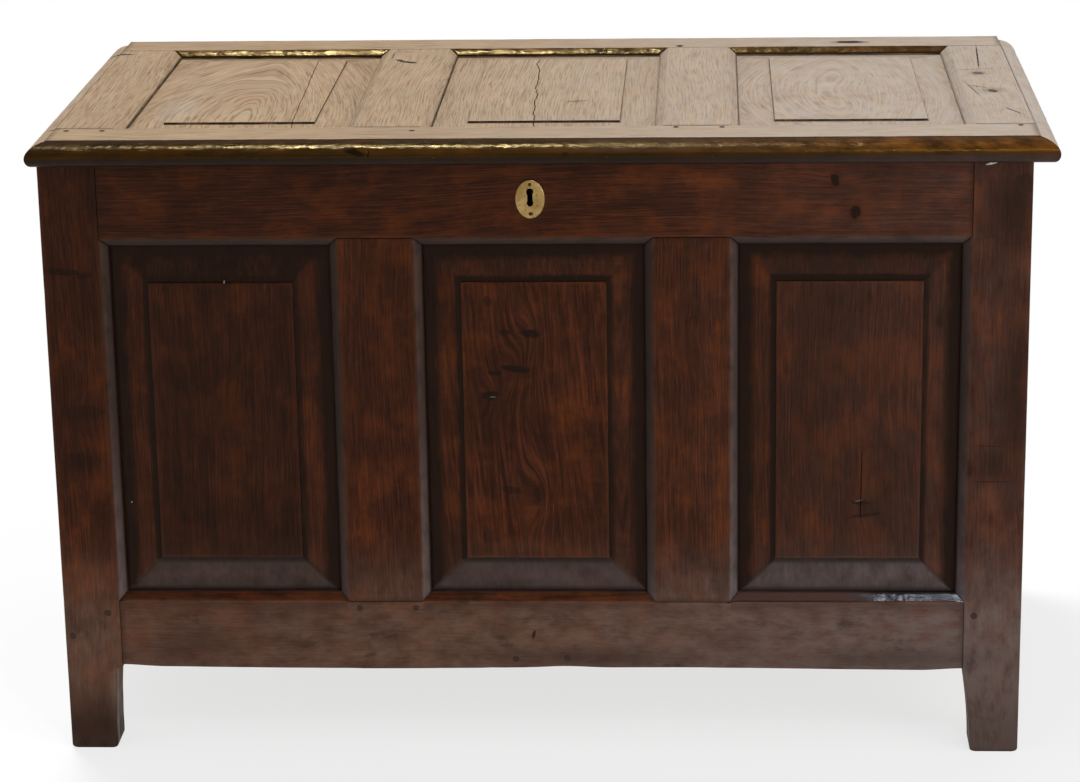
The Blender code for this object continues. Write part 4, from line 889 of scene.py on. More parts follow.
def panel(name, body, finish, face, opening, margin, recess, setback, tongue, materials, cracks=(), arch=None,
          rims=(1.30, 1.00, 1.30, 0.80), rim_width=0.0075, middle=(0.12, 0.12, 0.45, 0.12), outer=1.30,
          edge=0.22, riser_shade=0.0, bevel_dust=0.0, field=0.0):
    """A raised and fielded panel in an opening (u low, u high, v low, v high).

    rims is how dark the bevel is by the step and middle how dirty the bevel is, at the left, right,
    top and bottom. The bottom bevel has the third finish of the materials, where there is one. The
    step at the front of the field is darkened by a given amount, as painted shade.
    """
    u0, u1, v0, v1 = opening
    sight = CHAMFER_WIDTH - 0.0008
    low_u, high_u, low_v, high_v = u0 + sight, u1 - sight, v0 + sight, v1 - sight
    slope = margin - CHAMFER_WIDTH
    fu, fv = (u0 + margin, u1 - margin), (v0 + margin, v1 - margin)
    us, vs = crowd(low_u, high_u, *fu, slope), crowd(low_v, high_v, *fv, slope)
    crack_lines = []
    for crack_u, _, _, width, _, _, _ in cracks:
        crack_lines += [crack_u - width, crack_u, crack_u + width]
        us = us[np.abs(us - crack_u) > 0.0035]
    us = np.unique(np.concatenate([us, crack_lines]))
    u, v = np.meshgrid(us, vs, indexing="ij")
    out_u = np.maximum(np.maximum(fu[0] - u, u - fu[1]), 0)
    out_v = np.maximum(np.maximum(fv[0] - v, v - fv[1]), 0)
    away = np.maximum(out_u, out_v)
    on_bevel = away > 0.0002
    inset = np.minimum(np.minimum(u - fu[0], fu[1] - u), np.minimum(v - fv[0], fv[1] - v))
    w = -recess - 0.0006 * (1 - smooth(inset, -0.0001, 0.0016))
    bevel = -recess - FIELD_STEP - np.clip(away - 0.0004, 0, slope) / slope * (setback - recess - FIELD_STEP)
    w = np.where(on_bevel, bevel, w)
    tone = np.zeros(u.shape + (3,))
    side = np.where(out_u >= out_v, np.where(u < fu[0], 0, 1), np.where(v > fv[1], 2, 3))
    by_step = 1 - smooth(away, 0.4 * rim_width, 1.4 * rim_width)
    by_frame = smooth(away, slope - np.where(side == 3, 0.008, 0.026),
                      slope - np.where(side == 3, 0.001, 0.005))
    dirt = np.maximum(np.array(rims)[side] * by_step, outer * by_frame * np.where(side == 3, 0.5, 1.0))
    dirt = np.maximum(dirt, np.array(middle)[side])
    mitre = on_bevel & (np.abs(out_u - out_v) < 1e-5)
    dirt = np.maximum(dirt, np.where(mitre, 0.40 * outer, 0))
    near = np.maximum(edge * (1 - smooth(inset, 0.0012, 0.010)), field)
    # Painted shade: the step at the field's front edge is darkened as if in shadow
    shaded_front_step = (v < fv[0] + 0.0003) & (v > fv[0] - 0.0016) & (out_u < 0.0005)
    tone[..., 0] = np.maximum(np.where(on_bevel, dirt, near), np.where(shaded_front_step, riser_shade, 0))
    rubbed = bevel_dust * np.array([0.3, 0.0, 0.0, 1.6])[side] * np.exp(-((away / slope - 0.5) / 0.2) ** 2)
    tone[..., 1] = np.where(on_bevel, rubbed, np.where((inset > 0.0003) & (inset < 0.002), 0.40, 0))
    tone[..., 2] = np.where(on_bevel, bevel_dust * np.array([0.0, 0.1, 0.25, 1.0])[side], 0)
    points = np.stack([u, v, w], -1)
    w += np.minimum(0.0003 * ripple(points, 11.0, seed_of(name)), 0.0) + 0.00006 * ripple(points, 60.0, 2.0)
    shift = np.zeros_like(u)
    for crack_u, v_from, v_to, width, sway, depth, lean in cracks:
        rows = np.stack([0 * v, v, 0 * v], -1)
        bend = sway * (ripple(rows, 22.0, seed_of(name)) + 0.5 * ripple(rows, 90.0, 4.0))
        bend += lean * (v - (v_from + v_to) / 2)
        shift += bend * np.exp(-((u - crack_u) / 0.012) ** 2)
        strength = smooth(v, v_from, v_from + 0.02) * (1 - smooth(v, v_to - 0.02, v_to))
        strength *= 0.45 + 0.55 * np.clip(1 + 1.6 * ripple(rows, 30.0, 8.0), 0, 1)
        on_line = np.abs(u - crack_u) < width * 0.5
        w -= np.where(on_line, depth * strength, 0)
        tone[..., 0] = np.where(on_line, np.maximum(tone[..., 0], strength), tone[..., 0])
    uvw = np.stack([u + shift, v, w], -1)
    grain, tone = age(face, name, uvw, True, tone, arch)
    nu, nv = u.shape
    faces, kinds = [], []
    for i in range(nu - 1):
        for j in range(nv - 1):
            a, b, c, d = i * nv + j, (i + 1) * nv + j, (i + 1) * nv + j + 1, i * nv + j + 1
            rising = (us[i] < fu[0]) == (vs[j] < fv[0])
            corner = (us[i] < fu[0] or us[i + 1] > fu[1]) and (vs[j] < fv[0] or vs[j + 1] > fv[1])
            new = [(a, b, c, d)]
            if corner:
                new = [(a, b, c), (a, c, d)] if rising else [(a, b, d), (b, c, d)]
            for corners in new:
                at_u = np.mean([max(fu[0] - u.flat[k], u.flat[k] - fu[1], 0.0) for k in corners])
                below = np.mean([fv[0] - v.flat[k] for k in corners])
                kinds.append(2 if len(materials) > 2 and below > max(at_u, 0.0003) else 0)
            faces += new
    rim = [i * nv for i in range(nu)] + [(nu - 1) * nv + j for j in range(1, nv)]
    rim += [i * nv + nv - 1 for i in range(nu - 2, -1, -1)] + [j for j in range(nv - 2, 0, -1)]
    base = nu * nv
    flat = uvw.reshape(-1, 3)
    behind = flat[rim].copy()
    behind[:, 2] = -(setback + tongue)
    for k in range(len(rim)):
        n = (k + 1) % len(rim)
        faces.append((rim[k], rim[n], base + n, base + k))
        kinds.append(0)
    faces.append(tuple(base + k for k in reversed(range(len(rim)))))
    kinds.append(1)
    verts = face.at(np.concatenate([flat, behind]))
    grain = np.concatenate([grain.reshape(-1, 3), grain.reshape(-1, 3)[rim]])
    tone = np.concatenate([tone.reshape(-1, 3), tone.reshape(-1, 3)[rim] * 0.3])
    return make_piece(name, body, name, verts, faces, grain, tone, materials, kinds)


# Margin round the field, depth of the field, setback of the tongue and its thickness
PANEL_SIZES = (0.052, 0.005, 0.012, 0.006)
LID_PANEL_SIZES = (0.050, 0.004, 0.010, 0.005)
front_cracks = {"right": [(0.3662, 0.275, 0.365, 0.0005, 0.001, 0.0030, 0.0)]}
front_arch = {"left": None, "centre": (0.10, 0.75, 0.05), "right": None}
top_dirt = {"left": 0.95, "centre": 0.40, "right": 0.65}
field_dirt = {"left": 0.62, "centre": 0.0, "right": 0.36}
bevel_grey = {"left": 0.17, "centre": 0.21, "right": 0.26}
for label, span_u in zip(("left", "centre", "right"), FRONT_BAYS):
    panel(f"front_panel_{label}", "carcass", "front_oak", FRONT, (*span_u, CLEAR_LOW, CLEAR_HIGH),
          *PANEL_SIZES, wood, front_cracks.get(label, ()), front_arch[label],
          middle=(0.25, 0.22, top_dirt[label], 0.10), bevel_dust=bevel_grey[label], field=field_dirt[label])
for label, face in (("left", LEFT), ("right", RIGHT)):
    for part, span_u in zip(("back", "front") if label == "left" else ("front", "back"), END_BAYS):
        panel(f"{label}_panel_{part}", "carcass", "front_oak", face, (*span_u, CLEAR_LOW, CLEAR_HIGH),
              *PANEL_SIZES, wood, (), (sum(span_u) / 2, 0.1, 0.2), bevel_dust=0.15)

# %% [markdown]
# ## Plain back panels
# The back stood against a wall, so its panels are plain thin boards. The helper for rails
# serves for them too, on a face that lies a centimetre further in.

# %% Back panels
SUNK_BACK = Face("back", (CARCASS_X, BACK_Y - 0.010, 0), (-1, 0, 0), (0, 0, 1), (0, 1, 0))
for label, (low, high) in zip(("right", "centre", "left"), FRONT_BAYS):
    member(f"back_panel_{label}", "carcass", SUNK_BACK, (low - 0.0008, high + 0.0008),
           (CLEAR_LOW - 0.0008, CLEAR_HIGH + 0.0008), 0.008, True, (), (), raw)
print("back panels", len(FRONT_BAYS))

# %% [markdown]
# ## Lid
# The lid is one more frame with three fielded panels, only thinner. Its oak is pale with dirt in
# its open pores, partly its own colour and partly a painted sheen. The chamfers at the back face
# the viewer, so they take the dark polished finish without that painted sheen. Two panels are
# split along the grain.

# %% Lid frame and panels
lid_half = WIDTH / 2 - LID_INSET
lid_clear = lid_half - LID_STILE
LID_BAYS = three_bays(lid_clear, LID_MUNTIN)
lid_open = (LID_RAIL, LID_DEPTH - LID_RAIL)
lid_wood = [LID_OAK_PAINTED_SHEEN, RAW_OAK, EDGE_OAK]
member("lid_front_rail", "lid", LID, (0.0, LID_RAIL), (-lid_half, lid_half), LID_THICKNESS, False,
       (), LID_BAYS, lid_wood, edge=0.0008)
member("lid_back_rail", "lid", LID, (LID_DEPTH - LID_RAIL, LID_DEPTH), (-lid_half, lid_half),
       LID_THICKNESS, False, LID_BAYS, (), lid_wood, edge=0.0010, crown=0.0004)
edges = [-lid_half, *[e for b in LID_BAYS for e in b], lid_half]
lid_span = (lid_open[0] + GAP, lid_open[1] - GAP)
for i, label in enumerate(("left_stile", "muntin_left", "muntin_right", "right_stile")):
    member(f"lid_{label}", "lid", LID, (edges[2 * i], edges[2 * i + 1]), lid_span,
           LID_THICKNESS, True, [lid_open] if i > 0 else (), [lid_open] if i < 3 else (), lid_wood,
           edge=0.0010)
lid_cracks = {"left": [(-0.290, 0.080, 0.462, 0.0005, 0.0010, 0.0035, -0.028)],
              "centre": [(-0.016, 0.070, 0.462, 0.0007, 0.0040, 0.0040, -0.028)]}
lid_arch = {"left": (-0.34, 0.12, 0.55), "centre": None, "right": (0.34, 0.26, 0.7)}
lid_rims = {"left": (0.10, 0.80, 0.45, 0.9), "centre": (0.75, 0.75, 0.45, 0.9),
            "right": (0.9, 0.9, 0.45, 0.9)}
# The lid's fields get full painted shade on their front step
for label, span_u in zip(("left", "centre", "right"), LID_BAYS):
    panel(f"lid_panel_{label}", "lid", "lid_oak", LID, (*span_u, *lid_open), *LID_PANEL_SIZES,
          [LID_OAK_PAINTED_SHEEN, RAW_OAK], lid_cracks.get(label, ()), lid_arch[label], lid_rims[label], 0.0012,
          (0.02, 0.02, 0.22, 0.02), 0.06, 0.02, 1.0)
print("lid bays", [[round(c, 4) for c in b] for b in LID_BAYS])

# %% [markdown]
# ## Edge mouldings
# A strip with a thumbnail section is nailed to three sides of the lid, mitred at the front
# corners and turned at the back. Its nose hangs a little below the lid, outside the carcass,
# but the turn at the back left dips a few millimetres into the stile's top corner. A curve with
# a profile could draw it, but a skin over stations lets knocks and rubbed places vary along it,
# which is what breaks up the highlight.

# %% Mouldings
PROJECTION, NOSE_RISE, UNDERCUT, QUIRK, FIT = 0.021, 0.0045, 0.0078, 0.0008, 0.0003
LIP_DROP = 0.0055


def moulding_profile():
    """Points of distance out from the lid and height over its underside."""
    heel = PROJECTION - UNDERCUT
    top = LID_THICKNESS - QUIRK
    slope = np.array([(FIT, top), (0.0110, top - 0.0015), (PROJECTION, top - 0.0077),
                      (PROJECTION, NOSE_RISE)])
    points = [(FIT, 0.0), (heel * 0.5, 0.0), (heel, 0.0)]
    for i in range(9):
        a = math.pi / 2 * (i / 8 - 1)
        points.append((heel + UNDERCUT * math.cos(a), NOSE_RISE + (NOSE_RISE + LIP_DROP) * math.sin(a)))
    for t in np.linspace(1, 0, 17)[1:]:
        pull = np.array([(1 - t) ** 3, 3 * t * (1 - t) ** 2, 3 * t ** 2 * (1 - t), t ** 3])
        points.append(tuple(pull @ slope))
    points.append((FIT, NOSE_RISE))
    return np.array(points)


def moulding(name, place, lengths, tone_at, materials):
    """Carry the profile along lengths; place gives u and v for a length and a distance out.

    The part above the nose takes the first material, the part below it the last.
    """
    profile = moulding_profile()
    n, m = len(lengths), len(profile)
    uvw, grain, tone = np.zeros((3, n, m, 3))
    seed = seed_of(name)
    around = np.linspace(0, 0.055, m)
    for i, s in enumerate(lengths):
        for j, (out, height) in enumerate(profile):
            spot = Vector((s * 38.0, around[j] * 70.0, seed))
            knock = 0.00022 * noise.noise(spot) + 0.00018 * noise.noise(spot * 3.1)
            dent = max(0.0, noise.noise(Vector((s * 9.0, around[j] * 30.0, seed + 4))) - 0.5) * 0.003
            free = 1.0 if 1 < j < m - 2 and 0 < i < n - 1 else 0.0
            inward = (min(knock, 0.0001) - dent) * free
            sunk = 0.5 * inward * (height > NOSE_RISE)
            uvw[i, j] = (*place(s, out + inward), height - LID_THICKNESS + sunk)
            grain[i, j] = (s + seed, around[j], 0.1)
            tone[i, j] = tone_at(s, height, noise.noise(spot * 0.5))
    faces = skin(n, m)
    upper = [0 if height >= NOSE_RISE and out > FIT else len(materials) - 1 for out, height in profile]
    kinds = upper * (n - 1) + [0, 0]
    make_piece(name, "lid", name, LID.at(uvw.reshape(-1, 3)), faces, grain.reshape(-1, 3),
               tone.reshape(-1, 3), materials, kinds)


def front_place(s, out):
    """Front moulding: stretched so that both ends run into the mitres."""
    return (s * (lid_half + out - FIT) / lid_half, -out)


def front_tone(s, height, rough):
    """Black by the lid and below, rubbed to orange wood on top at the right."""
    upper = smooth(height, 0.006, 0.011)
    to_right = smooth(s, 0.05, 0.42)
    dirt = max(0.6 * (height < -0.004), 0.30 * smooth(height, 0.0195, 0.0206),
               0.65 * (1 - 0.7 * to_right) * (1 - upper), 0.50 * smooth(-s, 0.36, 0.48))
    dull = 0.5 * smooth(s, -0.03, 0.10) * (1 - to_right) * upper
    wear = 0.20 * (0.5 + rough) + 0.52 * to_right * upper
    dust = (0.45 if height > NOSE_RISE else 0.12) * to_right * (1 - upper) + dull
    return dirt, wear, dust


moulding("lid_front_moulding", front_place, np.linspace(-lid_half, lid_half, 221), front_tone,
         [EDGE_OAK, CHAMFER_WAX])
TURN_V = LID_DEPTH - PROJECTION
# The side mouldings take the lid's finish with its painted sheen; the right one gets more dust colour, a
# painted sheen as well
for label, hand, dust in (("left", -1, 0.10), ("right", 1, 0.75)):
    def side_place(s, out, hand=hand):
        """Side moulding: straight from its mitre, then a quarter turn at the back."""
        if s <= TURN_V:
            return (hand * (lid_half + out), -out + (TURN_V + out) * s / TURN_V)
        a = (s - TURN_V) / PROJECTION
        return (hand * (lid_half + FIT + (out - FIT) * math.cos(a)), TURN_V + out * math.sin(a))

    def side_tone(s, height, rough, dust=dust):
        """A black seam by the lid, and dust colour on the rest, heavy on the right moulding as a painted
        sheen.
        """
        return max(0.3 * (height < -0.004), 0.60 * smooth(height, 0.0203, 0.0208)), 0.1, dust

    turned = [TURN_V + PROJECTION * math.pi / 2 * k / 10 for k in range(1, 11)]
    stretch = np.array([*np.linspace(0, TURN_V, 100), *turned])
    moulding(f"lid_{label}_moulding", side_place, stretch, side_tone, [LID_OAK_PAINTED_SHEEN, EDGE_OAK])
print("moulding points", len(moulding_profile()))

# %% [markdown]
# ## Iron and inner boards
# The hinges, the lock and the boards of the bottom are right as the CAD model has them, so they
# stay, with a finish of their own. Their patterns come from Object coordinates, in metres.
# Forged iron is dark and uneven, with rust in its hollows. A Weld and a small Bevel modifier
# take the knife edge off the solids without touching their meshes.

# %% Finishes of the carried-over nodes
FORGED_IRON, tree, shader = new_material("forged_iron")
coords = put(tree, "ShaderNodeTexCoord").outputs["Object"]
hammer = put(tree, "ShaderNodeTexNoise", {"Vector": coords, "Scale": 140.0, "Detail": 4.0})
scale_marks = put(tree, "ShaderNodeTexNoise", {
    "Vector": coords, "Scale": 38.0, "Detail": 5.0, "Roughness": 0.65})
iron = put(tree, "ShaderNodeMix", {0: hammer.outputs[0], 6: colour("#2b2927"), 7: colour("#4b4845")},
           data_type="RGBA")
rusty = put(tree, "ShaderNodeMapRange", {"Value": scale_marks.outputs[0], "From Min": 0.52, "From Max": 0.66})
iron = put(tree, "ShaderNodeMix", {
    0: rusty.outputs[0], 6: iron.outputs[2], 7: colour("#4a2c1b")}, data_type="RGBA")
tree.links.new(iron.outputs[2], shader.inputs["Base Color"])
bare_iron = put(tree, "ShaderNodeMapRange", {"Value": rusty.outputs[0], "To Min": 0.9, "To Max": 0.15})
tree.links.new(bare_iron.outputs[0], shader.inputs["Metallic"])
dull = put(tree, "ShaderNodeMapRange", {"Value": scale_marks.outputs[0], "To Min": 0.42, "To Max": 0.75})
tree.links.new(dull.outputs[0], shader.inputs["Roughness"])
bump = put(tree, "ShaderNodeBump", {"Strength": 0.5, "Distance": 0.0005, "Height": hammer.outputs[0]})
tree.links.new(bump.outputs[0], shader.inputs["Normal"])

# Oak as it left the saw: dull, with straight fibres
BOARD_OAK, tree, shader = new_material("sawn_oak_boards")
coords = put(tree, "ShaderNodeTexCoord").outputs["Object"]
stretched = put(tree, "ShaderNodeMapping", {"Vector": coords, "Scale": (160.0, 5.0, 160.0)})
fibre = put(tree, "ShaderNodeTexNoise", {"Vector": stretched.outputs[0], "Scale": 1.0, "Detail": 4.0})
clouds = put(tree, "ShaderNodeTexNoise", {"Vector": coords, "Scale": 9.0, "Detail": 3.0})
board = put(tree, "ShaderNodeMix", {0: fibre.outputs[0], 6: colour("#5d4731"), 7: colour("#957b5b")},
            data_type="RGBA")
shade = put(tree, "ShaderNodeMapRange", {
    "Value": clouds.outputs[0], "From Min": 0.3, "From Max": 0.7, "To Min": 0.7, "To Max": 1.1})
board = put(tree, "ShaderNodeVectorMath", {0: board.outputs[2], "Scale": shade.outputs[0]}, operation="SCALE")
tree.links.new(board.outputs[0], shader.inputs["Base Color"])
bump = put(tree, "ShaderNodeBump", {"Strength": 0.5, "Distance": 0.0005, "Height": fibre.outputs[0]})
tree.links.new(bump.outputs[0], shader.inputs["Normal"])
dull = put(tree, "ShaderNodeMapRange", {"Value": fibre.outputs[0], "To Min": 0.6, "To Max": 0.85})
tree.links.new(dull.outputs[0], shader.inputs["Roughness"])
shader.inputs["Specular IOR Level"].default_value = 0.25


def ease(node, material, width):
    """Give a CAD node its finish and soft edges."""
    node.data.materials.clear()
    node.data.materials.append(material)
    weld = node.modifiers.new("weld", "WELD")
    weld.merge_threshold = 0.00001
    bevel = node.modifiers.new("bevel", "BEVEL")
    bevel.width = width
    bevel.segments = 2
    bevel.limit_method = "ANGLE"
    bevel.angle_limit = math.radians(40)


for name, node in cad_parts.items():
    if "hinge" in name or name.startswith("lock_") or name == "lid_staple":
        ease(node, FORGED_IRON, 0.0004)
    elif name.startswith("bottom_board") or name.endswith("ledger"):
        ease(node, BOARD_OAK, 0.0006)
print("carried over", [n for n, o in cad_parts.items() if not o.hide_render])

# %% [markdown]
# ## Keyhole plate
# An oval of thin brass with a bevelled rim guards the keyhole. Rings of points go from the edge
# of the hole out to the rim and back behind, which makes one closed skin. A Boolean
# modifier then bores the pin's hole in the plate and the keyhole in the rail behind it. Old
# brass is brown in its hollows and bright where fingers rub it. Dark rings round the holes
# above and below the keyhole are painted shade, and so is the black inside the keyhole.

# %% Escutcheon of aged brass
KEY_U, KEY_V = -0.002, 0.658
AGED_BRASS, tree, shader = new_material("aged_brass")
coords = put(tree, "ShaderNodeTexCoord").outputs["Object"]
spots = put(tree, "ShaderNodeTexNoise", {"Vector": coords, "Scale": 260.0, "Detail": 4.0, "Roughness": 0.6})
wide_spots = put(tree, "ShaderNodeTexNoise", {"Vector": coords, "Scale": 75.0, "Detail": 3.0})
tarnish = put(tree, "ShaderNodeMapRange", {"Value": wide_spots.outputs[0], "From Min": 0.35, "From Max": 0.7})
brass = put(tree, "ShaderNodeMix", {0: tarnish.outputs[0], 6: colour("#ac9160"), 7: colour("#8d7042")},
            data_type="RGBA")
pits = put(tree, "ShaderNodeMapRange", {
    "Value": spots.outputs[0], "From Min": 0.60, "From Max": 0.70, "To Max": 0.8})
brass = put(tree, "ShaderNodeMix", {
    0: pits.outputs[0], 6: brass.outputs[2], 7: colour("#4a3518")}, data_type="RGBA")
# Painted shade: dark rings round the holes above and below the keyhole
painted_hole_shade = marks(tree, coords, [front_mark(KEY_U, KEY_V + 0.0165, 0.0021, 0.0021, 0, 0.9),
                             front_mark(KEY_U + 0.0006, KEY_V - 0.0165, 0.0026, 0.0022, 0, 0.8)])
brass = put(tree, "ShaderNodeMix", {0: painted_hole_shade, 6: brass.outputs[2], 7: colour("#2a1c0c")}, data_type="RGBA")
tree.links.new(brass.outputs[2], shader.inputs["Base Color"])
shader.inputs["Metallic"].default_value = 1.0
dull = put(tree, "ShaderNodeMapRange", {"Value": spots.outputs[0], "To Min": 0.20, "To Max": 0.42})
tree.links.new(dull.outputs[0], shader.inputs["Roughness"])
bump = put(tree, "ShaderNodeBump", {"Strength": 0.25, "Distance": 0.0003, "Height": spots.outputs[0]})
tree.links.new(bump.outputs[0], shader.inputs["Normal"])

PLATE_U, PLATE_V, PLATE_T = 0.0165, 0.0225, 0.0018


def keyhole_edge(angle, grow=0.0):
    """Distance from the keyhole's middle to its edge, for a direction."""
    best = 0.0
    for cv, radius in ((0.0080, 0.0040), (-0.0045, 0.0036)):
        along = math.sin(angle) * cv
        inside = (radius + grow) ** 2 - (cv ** 2 - along ** 2)
        if inside > 0:
            best = max(best, along + math.sqrt(inside))
    waist = (0.0029 + grow) / max(abs(math.cos(angle)), 1e-6)
    if abs(waist * math.sin(angle)) < 0.0075:
        best = max(best, waist)
    return best


def plate_rings(count=120):
    """Closed rings from the back of the hole, over the face, round to the back again."""
    angles = [2 * math.pi * k / count for k in range(count)]
    rings = []
    for grow, w in ((0.0, 0.0003), (0.0, 0.0015), (0.0003, PLATE_T)):
        reach = [keyhole_edge(a, grow) for a in angles]
        rings.append([(d * math.cos(a), d * math.sin(a), w) for a, d in zip(angles, reach)])
    inner = rings[-1]
    outer = [((PLATE_U - 0.0016) * math.cos(a), (PLATE_V - 0.0016) * math.sin(a), PLATE_T) for a in angles]
    for share in (0.3, 0.65, 1.0):
        rings.append([tuple(p + (q - p) * share for p, q in zip(a, b)) for a, b in zip(inner, outer)])
    for less, w in ((0.0011, PLATE_T - 0.00015), (0.0004, PLATE_T - 0.0007), (0.0, PLATE_T - 0.0013),
                    (0.0, 0.0003)):
        rings.append([((PLATE_U - less) * math.cos(a), (PLATE_V - less) * math.sin(a), w) for a in angles])
    return rings


rings = plate_rings()
count = len(rings[0])
verts, faces = [], []
for ring in rings:
    for u, v, w in ring:
        dish = 0.00012 * noise.noise(Vector((u * 160, v * 160, 3.0)))
        verts.append(FRONT.at((KEY_U + u, KEY_V + v, w + dish)))
for i in range(len(rings)):
    nxt = (i + 1) % len(rings)
    for j in range(count):
        k = (j + 1) % count
        faces.append((i * count + j, i * count + k, nxt * count + k, nxt * count + j))
mesh = bpy.data.meshes.new("keyhole_plate")
mesh.from_pydata([tuple(v) for v in verts], [], faces)
plate = bpy.data.objects.new("keyhole_plate", mesh)
bpy.context.scene.collection.objects.link(plate)


def bore(board, outline, shallow, deep):
    """Cut a hole of this outline, (u, v) from the keyhole's middle, through a piece of the front."""
    bm = bmesh.new()
    ends = [[bm.verts.new(FRONT.at((KEY_U + u, KEY_V + v, w))) for u, v in outline] for w in (deep, shallow)]
    for end in ends:
        bm.faces.new(end)
    for k in range(len(outline)):
        bm.faces.new((ends[0][k - 1], ends[0][k], ends[1][k], ends[1][k - 1]))
    bmesh.ops.recalc_face_normals(bm, faces=bm.faces)
    cutter_mesh = bpy.data.meshes.new("cutter")
    bm.to_mesh(cutter_mesh)
    bm.free()
    cutter = bpy.data.objects.new("cutter", cutter_mesh)
    bpy.context.scene.collection.objects.link(cutter)
    cut = board.modifiers.new("bore", "BOOLEAN")
    cut.object = cutter
    cut.solver = "EXACT"
    bpy.context.view_layer.update()
    done = bpy.data.meshes.new_from_object(board.evaluated_get(bpy.context.evaluated_depsgraph_get()))
    board.modifiers.clear()
    board.data = done
    bpy.data.objects.remove(cutter)


turn = [2 * math.pi * k / 48 for k in range(48)]
bore(plate, [(0.0013 * math.cos(a), 0.0013 * math.sin(a) - 0.0165) for a in turn], 0.004, -0.004)
bore(keyed_rail, [(keyhole_edge(a) * math.cos(a), keyhole_edge(a) * math.sin(a)) for a in turn],
     0.004, -0.040)
# Painted shade: the walls of the hole are made black
keyed_rail.data.set_sharp_from_angle(angle=math.radians(38))
tone = keyed_rail.data.attributes["tone"].data
for i, vertex in enumerate(keyed_rail.data.vertices):
    du = vertex.co.x - CARCASS_X - KEY_U
    if math.hypot(du, vertex.co.z - KEY_V) < 0.0135 and abs(du) < 0.0045:
        tone[i].vector = (1.0, 0.0, 0.0)
bm = bmesh.new()
bm.from_mesh(plate.data)
bmesh.ops.recalc_face_normals(bm, faces=bm.faces)
bm.to_mesh(plate.data)
bm.free()
plate.data.polygons.foreach_set("use_smooth", [True] * len(plate.data.polygons))
plate.data.set_sharp_from_angle(angle=math.radians(30))
plate.data.materials.clear()
plate.data.materials.append(AGED_BRASS)
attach(plate, "carcass")
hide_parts("escutcheon")
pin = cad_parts["escutcheon_pin"]
ease(pin, AGED_BRASS, 0.0002)
print("plate faces", len(plate.data.polygons))

# %% [markdown]
# ## Pegs and nails
# Oak pegs hold mortise and tenon joints, and nails the mouldings and hinges. They repeat, so
# Geometry Nodes set them: points carry a direction and a size, and the tree puts a short cone
# on each, turned by a fixed seed. Realize Instances turns the copies into a real mesh, which is
# then taken from the evaluated object, because an export drops instances.

# %% A tree that sets heads on points
def head_tree(name, sides, taper, material):
    """A node group that sets a low cone on every point."""
    tree = bpy.data.node_groups.new(name, "GeometryNodeTree")
    tree.interface.new_socket("Points", in_out="INPUT", socket_type="NodeSocketGeometry")
    for label, value in (("Head height", 0.5), ("Seed", 7)):
        kind = "NodeSocketInt" if label == "Seed" else "NodeSocketFloat"
        tree.interface.new_socket(label, in_out="INPUT", socket_type=kind).default_value = value
    tree.interface.new_socket("Heads", in_out="OUTPUT", socket_type="NodeSocketGeometry")
    given = put(tree, "NodeGroupInput").outputs
    cone = put(tree, "GeometryNodeMeshCone", {
        "Vertices": sides, "Radius Top": taper, "Radius Bottom": 1.0, "Depth": given["Head height"]})
    out = put(tree, "GeometryNodeInputNamedAttribute", {"Name": "out"}, data_type="FLOAT_VECTOR")
    size = put(tree, "GeometryNodeInputNamedAttribute", {"Name": "size"}, data_type="FLOAT")
    spin = put(tree, "FunctionNodeRandomValue", {
        "Min": (0, 0, 0), "Max": (0, 0, 6.28), "Seed": given["Seed"]}, data_type="FLOAT_VECTOR")
    facing = put(tree, "FunctionNodeAlignRotationToVector", {
        "Rotation": spin.outputs[0], "Vector": out.outputs[0]}, axis="Z")
    heads = put(tree, "GeometryNodeInstanceOnPoints", {
        "Points": given["Points"], "Instance": cone.outputs["Mesh"], "Rotation": facing.outputs[0],
        "Scale": size.outputs[0]})
    real = put(tree, "GeometryNodeRealizeInstances", {0: heads.outputs[0]})
    done = put(tree, "GeometryNodeSetMaterial", {"Geometry": real.outputs[0], "Material": material})
    put(tree, "NodeGroupOutput", {0: done.outputs[0]})
    return tree


def set_heads(name, body, tree, spots, height, seed):
    """Points at spots (place, direction, size) become a plain mesh of heads on a body."""
    mesh = bpy.data.meshes.new(name)
    mesh.from_pydata([tuple(p) for p, _, _ in spots], [], [])
    layer = mesh.attributes.new("out", "FLOAT_VECTOR", "POINT")
    layer.data.foreach_set("vector", np.array([d for _, d, _ in spots], np.float32).ravel())
    layer = mesh.attributes.new("size", "FLOAT", "POINT")
    layer.data.foreach_set("value", np.array([s for _, _, s in spots], np.float32))
    piece = bpy.data.objects.new(name, mesh)
    bpy.context.scene.collection.objects.link(piece)
    modifier = piece.modifiers.new("heads", "NODES")
    modifier.node_group = tree
    for item in tree.interface.items_tree:
        if item.in_out == "INPUT" and item.name in ("Head height", "Seed"):
            modifier[item.identifier] = height if item.name == "Head height" else seed
    bpy.context.view_layer.update()
    piece.data = bpy.data.meshes.new_from_object(piece.evaluated_get(bpy.context.evaluated_depsgraph_get()))
    piece.modifiers.clear()
    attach(piece, body)
    print(name, len(spots), "heads,", len(piece.data.polygons), "faces")
    return piece


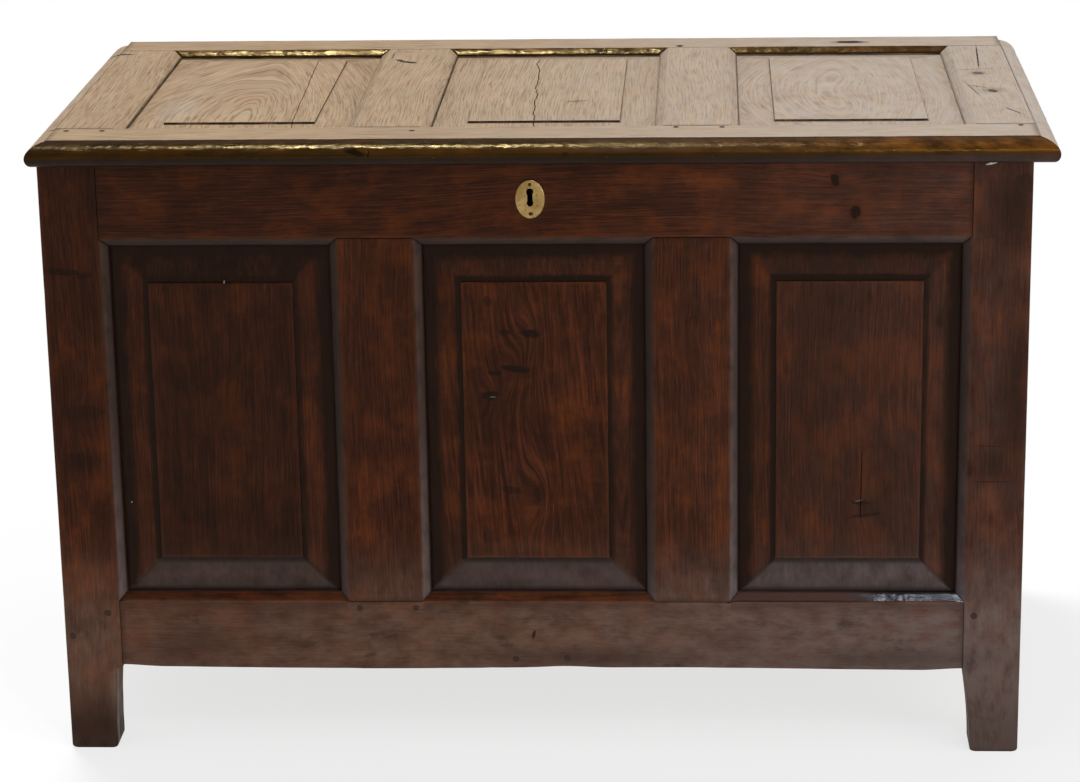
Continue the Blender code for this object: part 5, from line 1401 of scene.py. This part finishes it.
# End grain of the pegs: dark brown, with fine specks
PEG_OAK, tree, shader = new_material("peg_end_grain")
coords = put(tree, "ShaderNodeTexCoord").outputs["Object"]
speck = put(tree, "ShaderNodeTexNoise", {"Vector": coords, "Scale": 700.0, "Detail": 3.0})
peg = put(tree, "ShaderNodeMix", {
    0: speck.outputs[0], 6: colour("#120a06"), 7: colour("#3a2014")}, data_type="RGBA")
tree.links.new(peg.outputs[2], shader.inputs["Base Color"])
dull = put(tree, "ShaderNodeMapRange", {"Value": speck.outputs[0], "To Min": 0.4, "To Max": 0.65})
tree.links.new(dull.outputs[0], shader.inputs["Roughness"])
bump = put(tree, "ShaderNodeBump", {"Strength": 0.4, "Distance": 0.0003, "Height": speck.outputs[0]})
tree.links.new(bump.outputs[0], shader.inputs["Normal"])
shader.inputs["Specular IOR Level"].default_value = 0.3

# %% Pegs of the carcass and the lid
def on(face, u, v, size, lift=0.0):
    """A head on a show face."""
    return face.at((u, v, lift)), face.axes[2], size


carcass_pegs = []
for u, v in ((-0.1415, 0.1752), (-0.2062, 0.1750), (-0.0275, 0.1126), (0.0325, 0.1140), (-0.4990, 0.168),
             (0.4966, 0.167), (-0.5414, 0.1395)):
    carcass_pegs.append(on(FRONT, u, v, 0.0038, 0.0001))
for face in (LEFT, RIGHT):
    for u in (-end_half - 0.014, end_half + 0.014):
        for v in (0.122, 0.165, 0.636, 0.682):
            carcass_pegs.append(on(face, u, v, 0.0042, 0.0001))
    for u in (-0.014, 0.014):
        for v in (0.168, 0.629):
            carcass_pegs.append(on(face, u, v, 0.0040, 0.0001))
for u in (-half_in - 0.014, half_in + 0.014):
    for v in (0.122, 0.165, 0.636, 0.682):
        carcass_pegs.append(on(BACK, u, v, 0.0042, 0.0001))
lid_pegs = []
for u, v in ((-0.5325, 0.0471), (-0.4917, 0.0461), (-0.1432, 0.0390), (0.1499, 0.0509), (0.2009, 0.0497),
             (0.5304, 0.0515)):
    lid_pegs.append(on(LID, u, v, 0.0034, 0.0))
peg_tree = head_tree("peg_heads", 9, 0.82, PEG_OAK)
set_heads("carcass_pegs", "carcass", peg_tree, carcass_pegs, 0.16, 11)
set_heads("lid_pegs", "lid", peg_tree, lid_pegs, 0.14, 5)

# %% Nails of the mouldings and hinges
nails = []
nose = NOSE_RISE - LID_THICKNESS
for u in (-0.46, -0.31, -0.115, 0.075, 0.19, 0.36, 0.51):
    nails.append((LID.at((u, -PROJECTION + 0.0006, nose)), (0, -1, 0.0), 0.0013))
for hand in (-1, 1):
    for v in (0.06, 0.18, 0.31, 0.44, 0.53):
        nails.append((LID.at((hand * (lid_half + PROJECTION - 0.0006), v, nose)), (hand, 0, 0), 0.0013))
strap_u = [(edges[2] + edges[3]) / 2, (edges[4] + edges[5]) / 2]
for u in strap_u:
    for y in (0.062, 0.112, 0.162, 0.212):
        nails.append(((u + (0.006 if y in (0.062, 0.162) else -0.006), y, 0.7021), (0, 0, -1), 0.0034))
nail_tree = head_tree("nail_heads", 10, 0.6, FORGED_IRON)
set_heads("lid_nails", "lid", nail_tree, nails, 0.5, 3)
fixed_nails = []
for u in strap_u:
    for z in (0.675, 0.655):
        fixed_nails.append(((u, BACK_Y + 0.0032, z), (0, 1, 0), 0.0034))
set_heads("carcass_nails", "carcass", nail_tree, fixed_nails, 0.5, 4)
